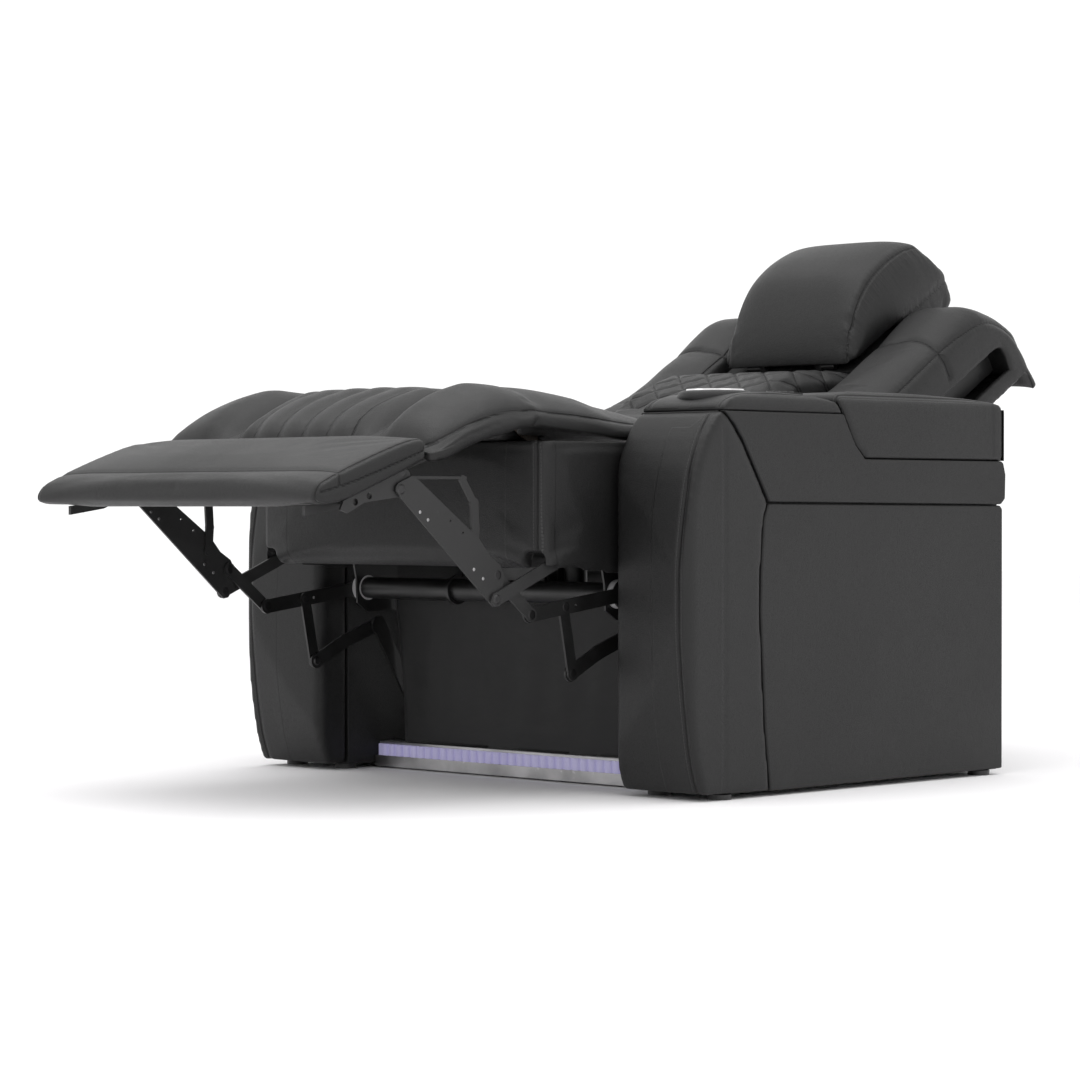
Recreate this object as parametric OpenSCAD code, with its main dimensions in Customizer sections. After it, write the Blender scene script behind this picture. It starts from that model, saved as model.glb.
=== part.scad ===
// Cinema recliner seat: leather armchair with a rising legrest, a reclining back, a tilting
// headrest, lidded armrests and a seat carriage that glides rearwards as the legrest folds.
// Depths are measured rearwards from the front line of the arms, heights from the floor and
// X from the middle plane. placed() then centres the seat on its footprint.

/* [Overall] */
// Distance from the front line of the arms back to the middle of the footprint
origin_back = 235; // [215:1:255]
// Half of the free width between the arms
inner_half = 336.5; // [334:0.5:360]
// Width of one arm
arm_w = 171.5; // [150:0.5:200]

/* [Arms] */
// Depth of an arm behind its front line
arm_depth = 725; // [690:1:780]
// Height of the arm top at its middle
arm_h = 617; // [600:1:640]
// Most that the arm front bows forward of the front line
bow_out = 52; // [30:1:70]
// How much less the inner edge of the arm front bows
bow_skew = 20; // [5:1:26]
// Thickness of the padded side panels
panel_t = 14; // [8:0.5:20]
// Height of the side band between the lower side panel and the storage lid
band_h = 69; // [50:1:90]
// Height of the storage lid at its middle
lid_h = 101; // [87:1:117]
// Depth of the front edge of the storage lid
lid_front = 302; // [290:1:330]
// Width of seams and gaps between upholstered pieces
seam_gap = 0.6; // [0.4:0.1:1.2]
// Inner radius of the cup holder
cup_r = 41; // [36:0.5:44]
// Depth of the cup holder
cup_depth = 78; // [50:1:90]
// Depth of the cup holder's axis behind the front line
cup_y = 109; // [100:1:125]
// Sheet thickness of the cup holder
cup_wall = 1.5; // [1:0.1:2.5]
// Height of the glides under the seat
glide_h = 8; // [5:0.5:12]

/* [Legrest linkage] */
// Depth of the knee hinge
knee_y = -182; // [-184:0.5:-180]
// Height of the knee hinge
knee_z = 576; // [574:0.5:578]
// Length of a carrier link, which is also the reach from knee hinge to footrest pivot
carrier_len = 284; // [280:0.5:287]
// Angle of the carrier links below the horizontal
carrier_drop = 22.8; // [22:0.1:23.5]
// Length of a main link between its end pivots
main_len = 248.2; // [245:0.5:251]
// Angle of the main links above the horizontal
main_rise = 40.75; // [40:0.1:41.5]
// Distance from an arm to the outer face of the outermost link plates
links_inset = 19.5; // [18.5:0.5:22.5]
// Thickness of a link plate
link_t = 4; // [3:0.1:4.2]
// Running gap between neighbouring link plates
link_gap = 0.6; // [0.4:0.05:0.8]
// Radius of the linkage rivets
rivet_r = 5; // [4:0.1:6]
// Radial clearance of a link on its rivet
rivet_clear = 0.05; // [0.02:0.01:0.1]
// Width of the main link plates
main_w = 37; // [32:0.5:40]
// Width of the narrow links
link_w = 21; // [17:0.5:23]
// Length of a crank arm on the torque tube
crank_len = 207.8; // [204:0.1:210]
// Angle of the crank arms, from rearwards through upwards
crank_angle = 187.5; // [186:0.1:189]

/* [Seat] */
// Distance from an arm to the upholstered seat box
seat_play = 10.5; // [8.5:0.5:12.5]
// Depth of the front face of the seat box
box_front = -172; // [-174:0.5:-170]
// Height of the top of the seat box
box_top = 540; // [536:0.5:541]
// Height of the bottom of the seat box at its front
box_bottom = 346; // [340:0.5:350]
// Depth of the rear end of the seat box
box_rear = 432; // [420:1:440]
// Outer radius of the torque tube
tube_r = 17.5; // [15:0.5:18.5]
// Depth of the torque tube's axis
tube_y = 32; // [30:0.5:34]
// Height of the torque tube's axis
tube_z = 306; // [304:0.5:308]

/* [Back] */
// Depth of the back hinge
hinge_y = 470; // [467:0.5:473]
// Height of the back hinge
hinge_z = 430; // [428:0.5:432]
// Angle of the reclined back above the horizontal
back_angle = 31; // [29:0.5:33]
// Distance from an arm to the back pads
back_play = 18.5; // [18:0.5:26.5]
// Half width of the middle pad of the back
lumbar_half = 164; // [150:1:175]
// Length of the back from its hinge to the shoulders
back_len = 666; // [650:1:680]
// Half width of the headrest
head_half = 143; // [130:1:150]

/* [Hidden] */
$fn = 48;

// Overrun of every cut past the face that it opens
over = 2;
links_half = inner_half - links_inset;
box_half = inner_half - seat_play;
back_half = inner_half - back_play;
lid_bottom = arm_h - lid_h;
panel_top = lid_bottom - band_h;
leather = [0.09, 0.09, 0.095];
leather_side = [0.13, 0.13, 0.135];
steel_black = [0.05, 0.05, 0.055];
steel_grey = [0.3, 0.3, 0.31];
bright = [0.8, 0.8, 0.82];
timber = [0.72, 0.58, 0.4];
lamp = [0.72, 0.68, 0.95];

// Pivots of the legrest linkage, as depth and height
function polar(r, a) = [r * cos(a), r * sin(a)];
knee = [knee_y, knee_z];
main_vec = polar(main_len, 180 - main_rise);
foot_pivot = knee + polar(carrier_len, 180 + carrier_drop);
carrier_front = foot_pivot - main_vec;
carrier_root = knee - main_vec;
tube = [tube_y, tube_z];
crank_tip = tube + polar(crank_len, crank_angle);
swing_len = 129.3;
swing_top = tube + polar(swing_len, crank_angle);
drive_pivot = carrier_front + main_w * [0.162, 0.973];
arm_pivot = tube + swing_len * [0.2011, -0.4872];
swing_low = tube + swing_len * [-0.8353, -0.9203];
support_pivot = carrier_front + main_w * [-1, 1.784];
function layer(n) = links_half - n * (link_t + link_gap);
head_t = 1.8;

// Seat structure
plate_inset = 34;
plate_in = links_half - plate_inset;
plate_t = 4;
stud_r = 7;
eye_r = 10;
hinge = [hinge_y, hinge_z];
wood_t = 26;
wood_h = 50;
frame_rear = 300;
cross_front = [92, 297];
cross_rear = [400, 300];
cross_r = 10;
fit = 0.05;
seat_gap = 0.3;

module placed() { translate([0, -origin_back, 0]) children(); }
module both() {
    children();
    mirror([1, 0, 0]) children();
}
// A side outline in depth and height, extruded from x0 to x1
module side_shape(x0, x1) {
    translate([x0, 0, 0]) rotate([90, 0, 90]) linear_extrude(x1 - x0) children();
}
module pin_x(p, r, x0, x1) {
    translate([x0, p[0], p[1]]) rotate([0, 90, 0]) cylinder(r = r, h = x1 - x0);
}
module rod_y(x, z, r, y0, y1) {
    translate([x, y0, z]) rotate([-90, 0, 0]) cylinder(r = r, h = y1 - y0);
}
module block(a, b) { translate(a) cube(b - a); }
// A flat bar with round ends, drilled at both pivots
module bar_2d(p, q, w) {
    // Bar with round ends, a little wider than its middle
    turn = atan2(q[1] - p[1], q[0] - p[0]);
    waist = w * 0.94;
    translate(p) circle(d = w);
    translate(q) circle(d = w);
    translate(p) rotate(turn) translate([0, -waist / 2]) square([norm(q - p), waist]);
}
module hole_2d(p, r) { translate(p) circle(r = r); }
// Smooth curve through chosen points
function bend(a, b, c, d, t) = 0.5 * (2 * b + (c - a) * t + (2 * a - 5 * b + 4 * c - d) * t * t
    + (3 * b - a - 3 * c + d) * t * t * t);
function smooth(p, n = 4) = [for (i = [0 : len(p) - 2], k = [0 : n - 1])
    bend(p[max(i - 1, 0)], p[i], p[i + 1], p[min(i + 2, len(p) - 1)], k / n), p[len(p) - 1]];
// Outline from shares of a box between the corners a and b
function span(shares, a, b) =
    [for (s = shares) [a[0] + s[0] * (b[0] - a[0]), a[1] + s[1] * (b[1] - a[1])]];
function arc(c, r, a0, a1, n = 8) = [for (i = [0 : n]) c + polar(r, a0 + (a1 - a0) * i / n)];

// Closed pad between two height surfaces over the columns xs and the rows ys.
// up(x, y) and down(x, y) return the upper and the lower height.
module pad(xs, ys, up, down) {
    nx = len(xs);
    ny = len(ys);
    tops = [for (y = ys, x = xs) [x, y, up(x, y)]];
    bases = [for (y = ys, x = xs) [x, y, down(x, y)]];
    m = nx * ny;
    upper = [for (j = [0 : ny - 2], i = [0 : nx - 2]) let (a = j * nx + i)
        each [[a, a + nx, a + 1], [a + 1, a + nx, a + nx + 1]]];
    lower = [for (j = [0 : ny - 2], i = [0 : nx - 2]) let (a = m + j * nx + i)
        each [[a, a + 1, a + nx], [a + 1, a + nx + 1, a + nx]]];
    ring = concat([for (i = [0 : nx - 1]) i], [for (j = [1 : ny - 1]) j * nx + nx - 1],
        [for (i = [nx - 2 : -1 : 0]) (ny - 1) * nx + i], [for (j = [ny - 2 : -1 : 1]) j * nx]);
    n = len(ring);
    wall = [for (k = [0 : n - 1]) let (a = ring[k], b = ring[(k + 1) % n])
        each [[a, b, a + m], [b, b + m, a + m]]];
    polyhedron(points = concat(tops, bases), faces = concat(upper, lower, wall), convexity = 8);
}
function spread(a, b, n) = [for (i = [0 : n]) a + (b - a) * i / n];
function ease(t) = let (s = max(0, min(1, t))) s * s * (3 - 2 * s);
// Roundness of a pad at its edge: 0 on the edge and 1 from a distance w inwards
function edge_rise(d, w) = d >= w ? 1 : sqrt(max(0, 1 - pow(1 - max(0, d) / w, 2)));

// Arms, drawn for the sitter's left
arm_in = inner_half;
arm_out = inner_half + arm_w;
arm_mid = inner_half + arm_w / 2;
side_in = arm_out - panel_t;
pad_back = 34;
top_drop = 32;
top_seat = arm_h - top_drop;
edge_drop = 19;
edge_round = 30;
tub_flange = 3;
lid_gap = 1.2;
tub_wall = 2.5;
tub_margin = 29;
crown_drop = 4;
rear_round = 6;
front_drop = 28;
tub_front = 382;
tub_rear = 700;
tub_h = 180;
hinge_out = 3.4;
lid_axis = [arm_depth + hinge_out, lid_bottom - seat_gap];
button_r = 5.5;
button_pitch = 16;
button_travel = 1.5;
panel_x = 18;
panel_y0 = 226;
panel_y1 = 294;
button_h = 2.4;
panel_top_z = arm_h + button_h;
panel_h = 10;
panel_z0 = arm_h - panel_h;
button_gap = 0.3;
bow_shares = [[-0.19, 0], [-0.5, 0.08], [-0.77, 0.226], [-0.96, 0.395], [-1, 0.543],
    [-0.9, 0.652], [-0.69, 0.77], [-0.46, 0.85], [-0.08, 0.925], [0.33, 0.976], [0.63, 1]];
// Seams on the side face, as shares of the arm's depth and of its height
front_seam_shares = [[0.194, 0], [0.178, 0.16], [0.170, 0.30], [0.163, 0.45], [0.165, 0.555],
    [0.174, 0.68], [0.188, 0.719]];
upper_seam_shares = [[0.142, 0.81], [0.105, 0.877], [0.079, 0.914], [0.048, 0.948]];
lid_front_shares = [[1, 0], [0.63, 0.20], [0.37, 0.46], [0.16, 0.70], [0, 0.84]];
lid_top_shares = [[0, 0.84], [0.01, 0.93], [0.05, 0.985], [0.2, 1.02], [0.5, 1.01], [0.8, 0.965],
    [0.95, 0.92], [0.99, 0.87], [1, 0.78]];
lid_box_a = [lid_front, lid_bottom];
lid_corner = 67;
function lid_front_line(shift) = span(lid_front_shares, lid_box_a - [shift, 0],
    [lid_front + lid_corner - shift, arm_h + crown_drop]);
function lid_edge(z, shift) = lookup(z, [for (p = lid_front_line(shift)) [p[1], p[0]]]);
function side_point(s) = [s[0] * arm_depth, s[1] * arm_h];
front_seam = [for (s = front_seam_shares) side_point(s) + [0, (1 - s[1]) * glide_h]];
upper_seam = [for (s = upper_seam_shares) side_point(s)];

module arm_round(z0, z1) {
    // Cross-section of the arm top and lid: rounded long edges and a low crown
    low = z1 - edge_drop - crown_drop;
    outline = concat([[arm_in, z0]], arc([arm_in + edge_round, low], edge_round, 180, 110, 6),
        [[arm_mid, low + edge_round + crown_drop / 2]],
        arc([arm_out - edge_round, low], edge_round, 70, 0, 6), [[arm_out, z0]]);
    translate([0, arm_depth + over, 0]) rotate([90, 0, 0])
        linear_extrude(arm_depth + bow_out + 2 * over) polygon(outline);
}
module arm_shell() {
    floor_z = glide_h;
    shelf = lid_bottom - lid_gap / 2 - tub_flange;
    outline = concat([[pad_back, floor_z], [arm_depth, floor_z], [arm_depth, shelf]],
        [[lid_front + lid_corner - lid_gap - tub_flange, shelf]],
        [for (p = lid_front_line(lid_gap)) if (p[1] > shelf && p[1] < top_seat) p],
        [[lid_edge(top_seat, lid_gap), top_seat], [pad_back, top_seat]]);
    color(leather_side) difference() {
        side_shape(arm_in, side_in) polygon(outline);
        block([arm_in + tub_margin - seat_gap, tub_front - seat_gap, shelf - tub_h - seat_gap],
            [side_in - tub_margin + seat_gap, tub_rear + seat_gap, shelf + over]);
        translate([arm_mid, cup_y, arm_h - cup_depth - over])
            cylinder(r = cup_r + cup_wall + seat_gap, h = cup_depth + 2 * over);
    }
}
module arm_front() {
    front = smooth(span(bow_shares, [0, glide_h + over], [bow_out, arm_h - front_drop]), 2);
    corner = 22;
    plan = concat([[arm_in, -bow_out + bow_skew + corner]],
        arc([arm_in + corner, -bow_out + bow_skew + corner], corner, 180, 270, 6),
        arc([arm_out - corner, -bow_out + corner], corner, 270, 360, 6),
        [[arm_out, arm_depth], [arm_in, arm_depth]]);
    cheek = concat(front, [[pad_back, arm_h - front_drop]], [for (i = [3 : -1 : 0]) upper_seam[i]],
        [for (i = [6 : -1 : 0]) front_seam[i]]);
    color(leather) intersection() {
        union() {
            side_shape(arm_in, side_in) polygon(concat(front, [[pad_back, arm_h - front_drop],
                [pad_back, glide_h + over]]));
            side_shape(side_in, arm_out) polygon(cheek);
        }
        linear_extrude(arm_h) polygon(plan);
    }
}
module side_panel() {
    top = panel_top - seam_gap;
    outline = concat([for (p = front_seam) p + [seam_gap * 2, 0]],
        [[0.235 * arm_depth, top], [arm_depth - rear_round, top - 0.6 * rear_round],
        [arm_depth, top - 1.5 * rear_round], [arm_depth, glide_h + over]]);
    color(leather_side) side_shape(side_in, arm_out - over) polygon(smooth(outline, 1));
}
module side_band() {
    top = top_seat;
    lower = panel_top + seam_gap;
    outline = concat([[pad_back + seam_gap, top]],
        [for (i = [2 : -1 : 0]) upper_seam[i] + [seam_gap * 2, seam_gap]],
        [front_seam[6] + [seam_gap * 2, seam_gap * 4], [0.235 * arm_depth, lower],
        [arm_depth - rear_round, lower - rear_round / 2], [arm_depth + 0.8 * rear_round, lower + rear_round],
        [arm_depth + rear_round, 0.8 * arm_h], [arm_depth, lid_bottom - rear_round / 2],
        [arm_depth - rear_round, lid_bottom - lid_gap / 2]],
        [[lid_front + lid_corner - lid_gap * 2, lid_bottom - lid_gap / 2]],
        [for (p = lid_front_line(lid_gap)) if (p[1] > lid_bottom && p[1] < top) p],
        [[lid_edge(top, lid_gap), top]]);
    color(leather_side) side_shape(side_in, arm_out) polygon(outline);
}
module arm_top() {
    crown = span([[0, 0.2], [0.05, 0.55], [0.17, 0.86], [0.4, 1], [0.65, 0.97], [0.88, 0.84]],
        [pad_back + seam_gap, top_seat], [lid_front, arm_h - seat_gap]);
    outline = concat([[pad_back + seam_gap, top_seat]], smooth(crown, 3),
        [lid_front_line(lid_gap)[4], lid_front_line(lid_gap)[3], [lid_edge(top_seat, lid_gap), top_seat]]);
    color(leather) difference() {
        intersection() {
            side_shape(arm_in, arm_out) polygon(outline);
            arm_round(top_seat - over, arm_h - over * 2);
        }
        translate([arm_mid, cup_y, top_seat - over])
            cylinder(r = cup_r + cup_wall + seat_gap, h = edge_round * 2);
        block([arm_mid - panel_x - seat_gap, panel_y0 - seat_gap, panel_z0],
            [arm_mid + panel_x + seat_gap, panel_y1 + seat_gap, arm_h + over]);
    }
}
module storage_lid() {
    leaf_t = 1.2;
    knuckle_r = hinge_out - leaf_t / 2;
    top = span(lid_top_shares, lid_box_a, [arm_depth, arm_h + crown_drop]);
    outline = concat(lid_front_line(0), smooth(top, 3), [[arm_depth, lid_bottom]]);
    color(leather) union() {
        intersection() {
            side_shape(arm_in, arm_out) polygon(outline);
            arm_round(lid_bottom - over, arm_h);
        }
        for (x = [arm_mid - lid_knuckle, arm_mid + lid_knuckle]) {
            block([x, arm_depth, lid_axis[1] + knuckle_r], [x + lid_knuckle, arm_depth + leaf_t,
                lid_axis[1] + lid_leaf]);
            difference() {
                union() {
                    pin_x(lid_axis, knuckle_r, x + seat_gap, x + lid_knuckle - seat_gap);
                    block([x + seat_gap, arm_depth, lid_axis[1]],
                        [x + lid_knuckle - seat_gap, arm_depth + leaf_t, lid_axis[1] + knuckle_r + over]);
                }
                pin_x(lid_axis, lid_pin_r + fit, x, x + lid_knuckle);
            }
        }
    }
}
lid_knuckle = 0.14 * arm_w;
lid_leaf = 24;
lid_pin_r = 1.5;
module lid_hinge() {
    leaf_t = 1.2;
    knuckle_r = hinge_out - leaf_t / 2;
    top = lid_bottom - lid_gap / 2 - tub_flange;
    pin_x(lid_axis, lid_pin_r, arm_mid - 2 * lid_knuckle, arm_mid + 3 * lid_knuckle);
    for (x = [arm_mid - 2 * lid_knuckle, arm_mid, arm_mid + 2 * lid_knuckle]) {
        pin_x(lid_axis, knuckle_r, x + seat_gap, x + lid_knuckle - seat_gap);
        block([x + seat_gap, arm_depth, top - lid_leaf],
            [x + lid_knuckle - seat_gap, arm_depth + leaf_t, lid_axis[1]]);
    }
}
module lid_hinges() { color(steel_grey) both() lid_hinge(); }
module storage_tub() {
    shelf = lid_bottom - lid_gap / 2 - tub_flange;
    x0 = arm_in + tub_margin;
    x1 = side_in - tub_margin;
    rim = 10;
    color([0.1, 0.1, 0.1]) difference() {
        union() {
            block([x0, tub_front, shelf - tub_h], [x1, tub_rear, shelf]);
            block([x0 - rim, tub_front - rim, shelf], [x1 + rim, tub_rear + rim, shelf + tub_flange]);
        }
        block([x0 + tub_wall, tub_front + tub_wall, shelf - tub_h + tub_wall],
            [x1 - tub_wall, tub_rear - tub_wall, shelf + tub_flange + over]);
    }
}
module cup_holder() {
    rim_w = 4.5;
    rim_t = 3.5;
    color(bright) translate([arm_mid, cup_y, 0]) difference() {
        union() {
            translate([0, 0, arm_h - cup_depth]) cylinder(r = cup_r + cup_wall, h = cup_depth + rim_t);
            translate([0, 0, arm_h]) cylinder(r1 = cup_r + rim_w, r2 = cup_r + rim_w - 1, h = rim_t);
        }
        translate([0, 0, arm_h - cup_depth + cup_wall]) cylinder(r = cup_r, h = cup_depth + rim_t + over);
    }
}
function button_y(i) = (panel_y0 + panel_y1) / 2 + (i - 1.5) * button_pitch;
module control_panel() {
    color([0.08, 0.08, 0.09]) difference() {
        block([arm_mid - panel_x, panel_y0, panel_z0], [arm_mid + panel_x, panel_y1, panel_top_z]);
        for (i = [0 : 3]) translate([arm_mid, button_y(i), arm_h])
            cylinder(r = button_r + button_gap, h = panel_h);
    }
}
module button(i) {
    color([0.75, 0.76, 0.8]) translate([arm_mid, button_y(i), arm_h + button_travel + button_gap])
        cylinder(r = button_r, h = button_h);
}

// Base
module glides() {
    pad_r = 18;
    inset = 24;
    first_y = 50;
    color([0.06, 0.06, 0.06]) both()
        for (x = [arm_in + inset, arm_out - inset], y = [first_y, arm_depth - 1.5 * inset])
            translate([x, y, 0]) cylinder(r = pad_r, h = glide_h);
}
beam = 40;
beam_front = 136;
beam_rear = 640;
beam_d = 32;
rail_x = 236;
rail_w = 30;
rail_h = 24;
rail_t = 3;
bracket_t = 5;
swing_x = layer(5) - link_t;
module base_frame() {
    color(steel_black) {
        for (y = [beam_front, beam_rear])
            block([-arm_in, y, glide_h], [arm_in, y + beam_d, glide_h + beam]);
        both() block([rail_x, beam_front + beam_d, glide_h], [rail_x + rail_w, beam_rear, glide_h + beam]);
        both() swing_bracket();
    }
}
module swing_bracket() {
    // Plate that carries the swing arm, standing on the front beam
    top = arm_pivot;
    foot = glide_h + beam;
    w = 15;
    x1 = swing_x - link_gap;
    lean = beam_front - top[0];
    inner = w * 0.9;
    side_shape(x1 - bracket_t, x1) {
        polygon([[beam_front, foot], [beam_front + beam_d, foot], [beam_front + beam_d * 0.9, foot + beam],
            top + polar(inner, 20), top + polar(inner, 110), top + polar(inner, 200),
            [beam_front - lean * 0.56, foot + beam + w * 5], [beam_front, foot + beam]]);
        translate(top) circle(r = w);
    }
    pin_x(top, rivet_r, x1 - bracket_t, layer(5));
}
module glide_rails() {
    z0 = glide_h + beam;
    slot = rail_w / 4;
    mid = rail_x + rail_w / 2;
    color(steel_grey) both() difference() {
        block([rail_x, rail_front, z0], [rail_x + rail_w, rail_back, z0 + rail_h]);
        block([rail_x + rail_t, rail_front - over, z0 + rail_t],
            [rail_x + rail_w - rail_t, rail_back + over, z0 + rail_h - rail_t]);
        block([mid - slot, rail_front - over, z0], [mid + slot, rail_back + over, z0 + rail_h + over]);
    }
}
rail_front = 272;
rail_back = 606;
shoe_front = 290;
shoe_rear = 470;
leg_z = 110;
module seat_runners() {
    z0 = glide_h + beam;
    mid = rail_x + rail_w / 2;
    neck = rail_w / 6;
    web = 4;
    color([0.85, 0.85, 0.82]) both() {
        block([rail_x + rail_t + seat_gap, shoe_front, z0 + rail_t + seat_gap],
            [rail_x + rail_w - rail_t - seat_gap, shoe_rear, z0 + rail_h - rail_t - seat_gap]);
        block([mid - neck, shoe_front, z0 + rail_h - rail_t - seat_gap], [mid + neck, shoe_rear, leg_z]);
        block([mid - neck, shoe_front, leg_z - web], [plate_in + plate_t, shoe_rear, leg_z]);
    }
}
led_y = 94;
led_top = 44;
led_z0 = 21;
led_lip = 10;
led_wall = 4;
led_deep = 16;
led_set = 6;
module led_channel() {
    z0 = 3;
    color([0.55, 0.55, 0.57]) side_shape(-arm_in + over, arm_in - over)
        polygon([[led_y, z0], [beam_front, z0], [beam_front, led_top], [led_y + led_lip, led_top],
            [led_y + led_lip, led_top - led_wall], [led_y + led_deep, led_top - led_wall],
            [led_y + led_deep, led_z0], [led_y, led_z0]]);
}
module led_strip() {
    bead = 9;
    count = floor((2 * arm_in - 2 * bead) / (2 * bead));
    color(lamp) {
        block([-arm_in + over * 2, led_y + led_set, led_z0],
            [arm_in - over * 2, led_y + led_deep, led_top - led_wall]);
        for (i = [0 : count - 1]) translate([(i - (count - 1) / 2) * 2 * bead, led_y + led_set, led_z0])
            cylinder(r = bead * 0.66, h = led_top - led_wall - led_z0);
    }
}
cloth_half = plate_in - rail_t;
cloth_z0 = led_top;
cloth_top = [cross_front[0] - cross_r + over / 2, cross_front[1] - cross_r];
fold_h = 4;
cloth_t = 2.6;
module front_cloth() {
    z1 = cloth_top[1] - seat_gap;
    function fold(x, z) = let (t = (z - cloth_z0) / (z1 - cloth_z0))
        sin(180 * t) * fold_h * (sin(530 * x / cloth_half + 40)
        + 0.75 * sin((1200 * x + 140 * z) / cloth_half));
    function lie(x, z) = let (t = (z - cloth_z0) / (z1 - cloth_z0))
        (led_y + led_deep + over) * (1 - t) + cloth_top[0] * t + fold(x, z);
    // Rows run up the cloth, and the height of the pad is the depth turned round
    color(leather) rotate([90, 0, 0])
        pad(spread(-cloth_half, cloth_half, 24), spread(cloth_z0, z1, 7),
            function(x, z) -lie(x, z), function(x, z) -lie(x, z) - cloth_t);
}

// Seat carriage
module seat_side_plates() {
    lower = tube[1] - 1.6 * plate_rim;
    upper = box_top - wood_h;
    plate = [carrier_root + plate_rim * [-0.6, 0.3], carrier_root + plate_rim * [-0.6, -1],
        tube + plate_rim * [-1.04, 0.54], tube + plate_rim * [-0.96, -1], [tube[0], lower],
        [tube[0] + 1.5 * plate_rim, lower + 0.1 * plate_rim], [cross_rear[0] * 0.55, lower - 0.2 * plate_rim],
        [shoe_front, lower - 2.3 * plate_rim], [shoe_front, leg_z], [shoe_rear, leg_z],
        [shoe_rear - 0.8 * plate_rim, hinge[1] - 5.8 * plate_rim],
        for (a = [-30, 0, 60, 100, 135, 170]) hinge + polar(plate_rim, a),
        [frame_rear, upper - plate_rim], [frame_rear, upper], [carrier_root[0] + 1.2 * plate_rim, upper]];
    window = [[tube[0] + 2.7 * plate_rim, lower + 1.4 * plate_rim],
        [cross_rear[0] - 2.3 * plate_rim, lower + 0.8 * plate_rim],
        [cross_rear[0] - 3.5 * plate_rim, upper - 2 * plate_rim],
        [tube[0] + 2.3 * plate_rim, upper - 1.6 * plate_rim]];
    color(steel_black) both() {
        side_shape(plate_in, plate_in + plate_t) difference() {
            polygon(plate);
            polygon(window);
            hole_2d(tube, bush_r);
            hole_2d(hinge, hinge_pin_r + fit);
            hole_2d(cross_front, cross_r);
            hole_2d(cross_rear, cross_r);
        }
        block([plate_in, carrier_root[0] + 1.2 * plate_rim, upper - plate_t],
            [box_half - skin_side, frame_rear, upper]);
        pin_x(carrier_root, stud_r, plate_in + plate_t, layer(0));
        pin_x(carrier_root, stud_r * 1.3, layer(0), layer(0) + head_t);
        pin_x(carrier_root, stud_r * 1.6, plate_in + plate_t, layer(4));
    }
}
plate_rim = 25;
bush_wall = 3;
bush_r = tube_r + bush_wall;
hinge_pin_r = 7;
module tube_bushings() {
    // White bushings in the side plates, with a flange on their outer side
    flange_t = layer(3) - link_t - link_gap - plate_in - plate_t;
    color([0.88, 0.88, 0.86]) both() translate([plate_in, tube[0], tube[1]]) rotate([0, 90, 0])
        difference() {
            union() {
                cylinder(r = bush_r * 0.999, h = plate_t);
                translate([0, 0, plate_t]) cylinder(r = bush_r * 1.1, h = flange_t);
            }
            translate([0, 0, -over]) cylinder(r = tube_r + fit, h = plate_t + flange_t + 2 * over);
        }
}
module clevis(x, at, to, w) {
    // Two cheeks from a cross tube to an actuator's pivot
    for (s = [-1, 1]) let (mid = x + s * (w + seat_gap + cheek_t / 2))
        side_shape(mid - cheek_t / 2, mid + cheek_t / 2) difference() {
            bar_2d(at, to, cross_r * 2);
            hole_2d(at, cross_r - over);
            hole_2d(to, rivet_r + fit);
        }
    pin_x(to, rivet_r, x - w - 1.5 * cheek_t, x + w + 1.5 * cheek_t);
}
cheek_t = 4;
drive_x = 70;
rod_r = 6;
barrel_r = 15;
recline_z = 328;
legrest_z = 355;
module seat_cross_tubes() {
    color(steel_black) {
        for (p = [cross_front, cross_rear]) pin_x(p, cross_r, -plate_in - plate_t, plate_in + plate_t);
        clevis(drive_x, cross_front, [cross_front[0], recline_z], rod_r);
        clevis(-drive_x, cross_rear, [cross_rear[0] - 1.2 * cross_r, legrest_z], rod_r);
    }
}
knee_inset = 55;
knee_x = links_half - knee_inset;
knee_t = 6;
module seat_frame() {
    z0 = box_top - wood_h;
    y0 = box_front + skin_front;
    side_out = box_half - skin_side;
    side_w = wood_side;
    color(timber) {
        block([-side_out, y0, z0], [side_out, y0 + wood_t, box_top]);
        block([-side_out, frame_rear - wood_t, z0], [side_out, frame_rear, box_top]);
        both() block([side_out - side_w, y0, z0], [side_out, frame_rear, box_top]);
    }
    color(steel_black) both() {
        side_shape(knee_x, knee_x + knee_t) union() {
            polygon([[y0 + wood_t, box_top], [y0 + eye_r * 0.2, box_top], knee + eye_r * [0.2, -0.9],
                knee + eye_r * [0.4, 0.8], [y0 + wood_t, box_top + wood_t]]);
            translate(knee) circle(r = eye_r);
        }
        pin_x(knee, rivet_r, knee_x, arm_x + frame_t + fit);
        pin_x(knee, rivet_r * 1.6, arm_x + frame_t + fit, arm_x + frame_t + fit + head_t);
    }
}
skin_front = 25;
skin_side = 6;
wood_side = 20;
module seat_webbing() {
    pitch = (box_half - skin_side - wood_side) / 4.4;
    strap_w = pitch * 0.64;
    strap_t = 2;
    color([0.15, 0.15, 0.16]) for (i = [-3.5 : 1 : 3.5]) difference() {
        block([i * pitch - strap_w / 2, box_front + skin_front + wood_t / 2, box_top - strap_t],
            [i * pitch + strap_w / 2, frame_rear - wood_t / 2, box_top]);
        for (y = [box_front + skin_front, frame_rear - wood_t])
            block([i * pitch - strap_w, y, box_top - strap_t - over], [i * pitch + strap_w, y + wood_t,
                box_top + over]);
    }
}
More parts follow.
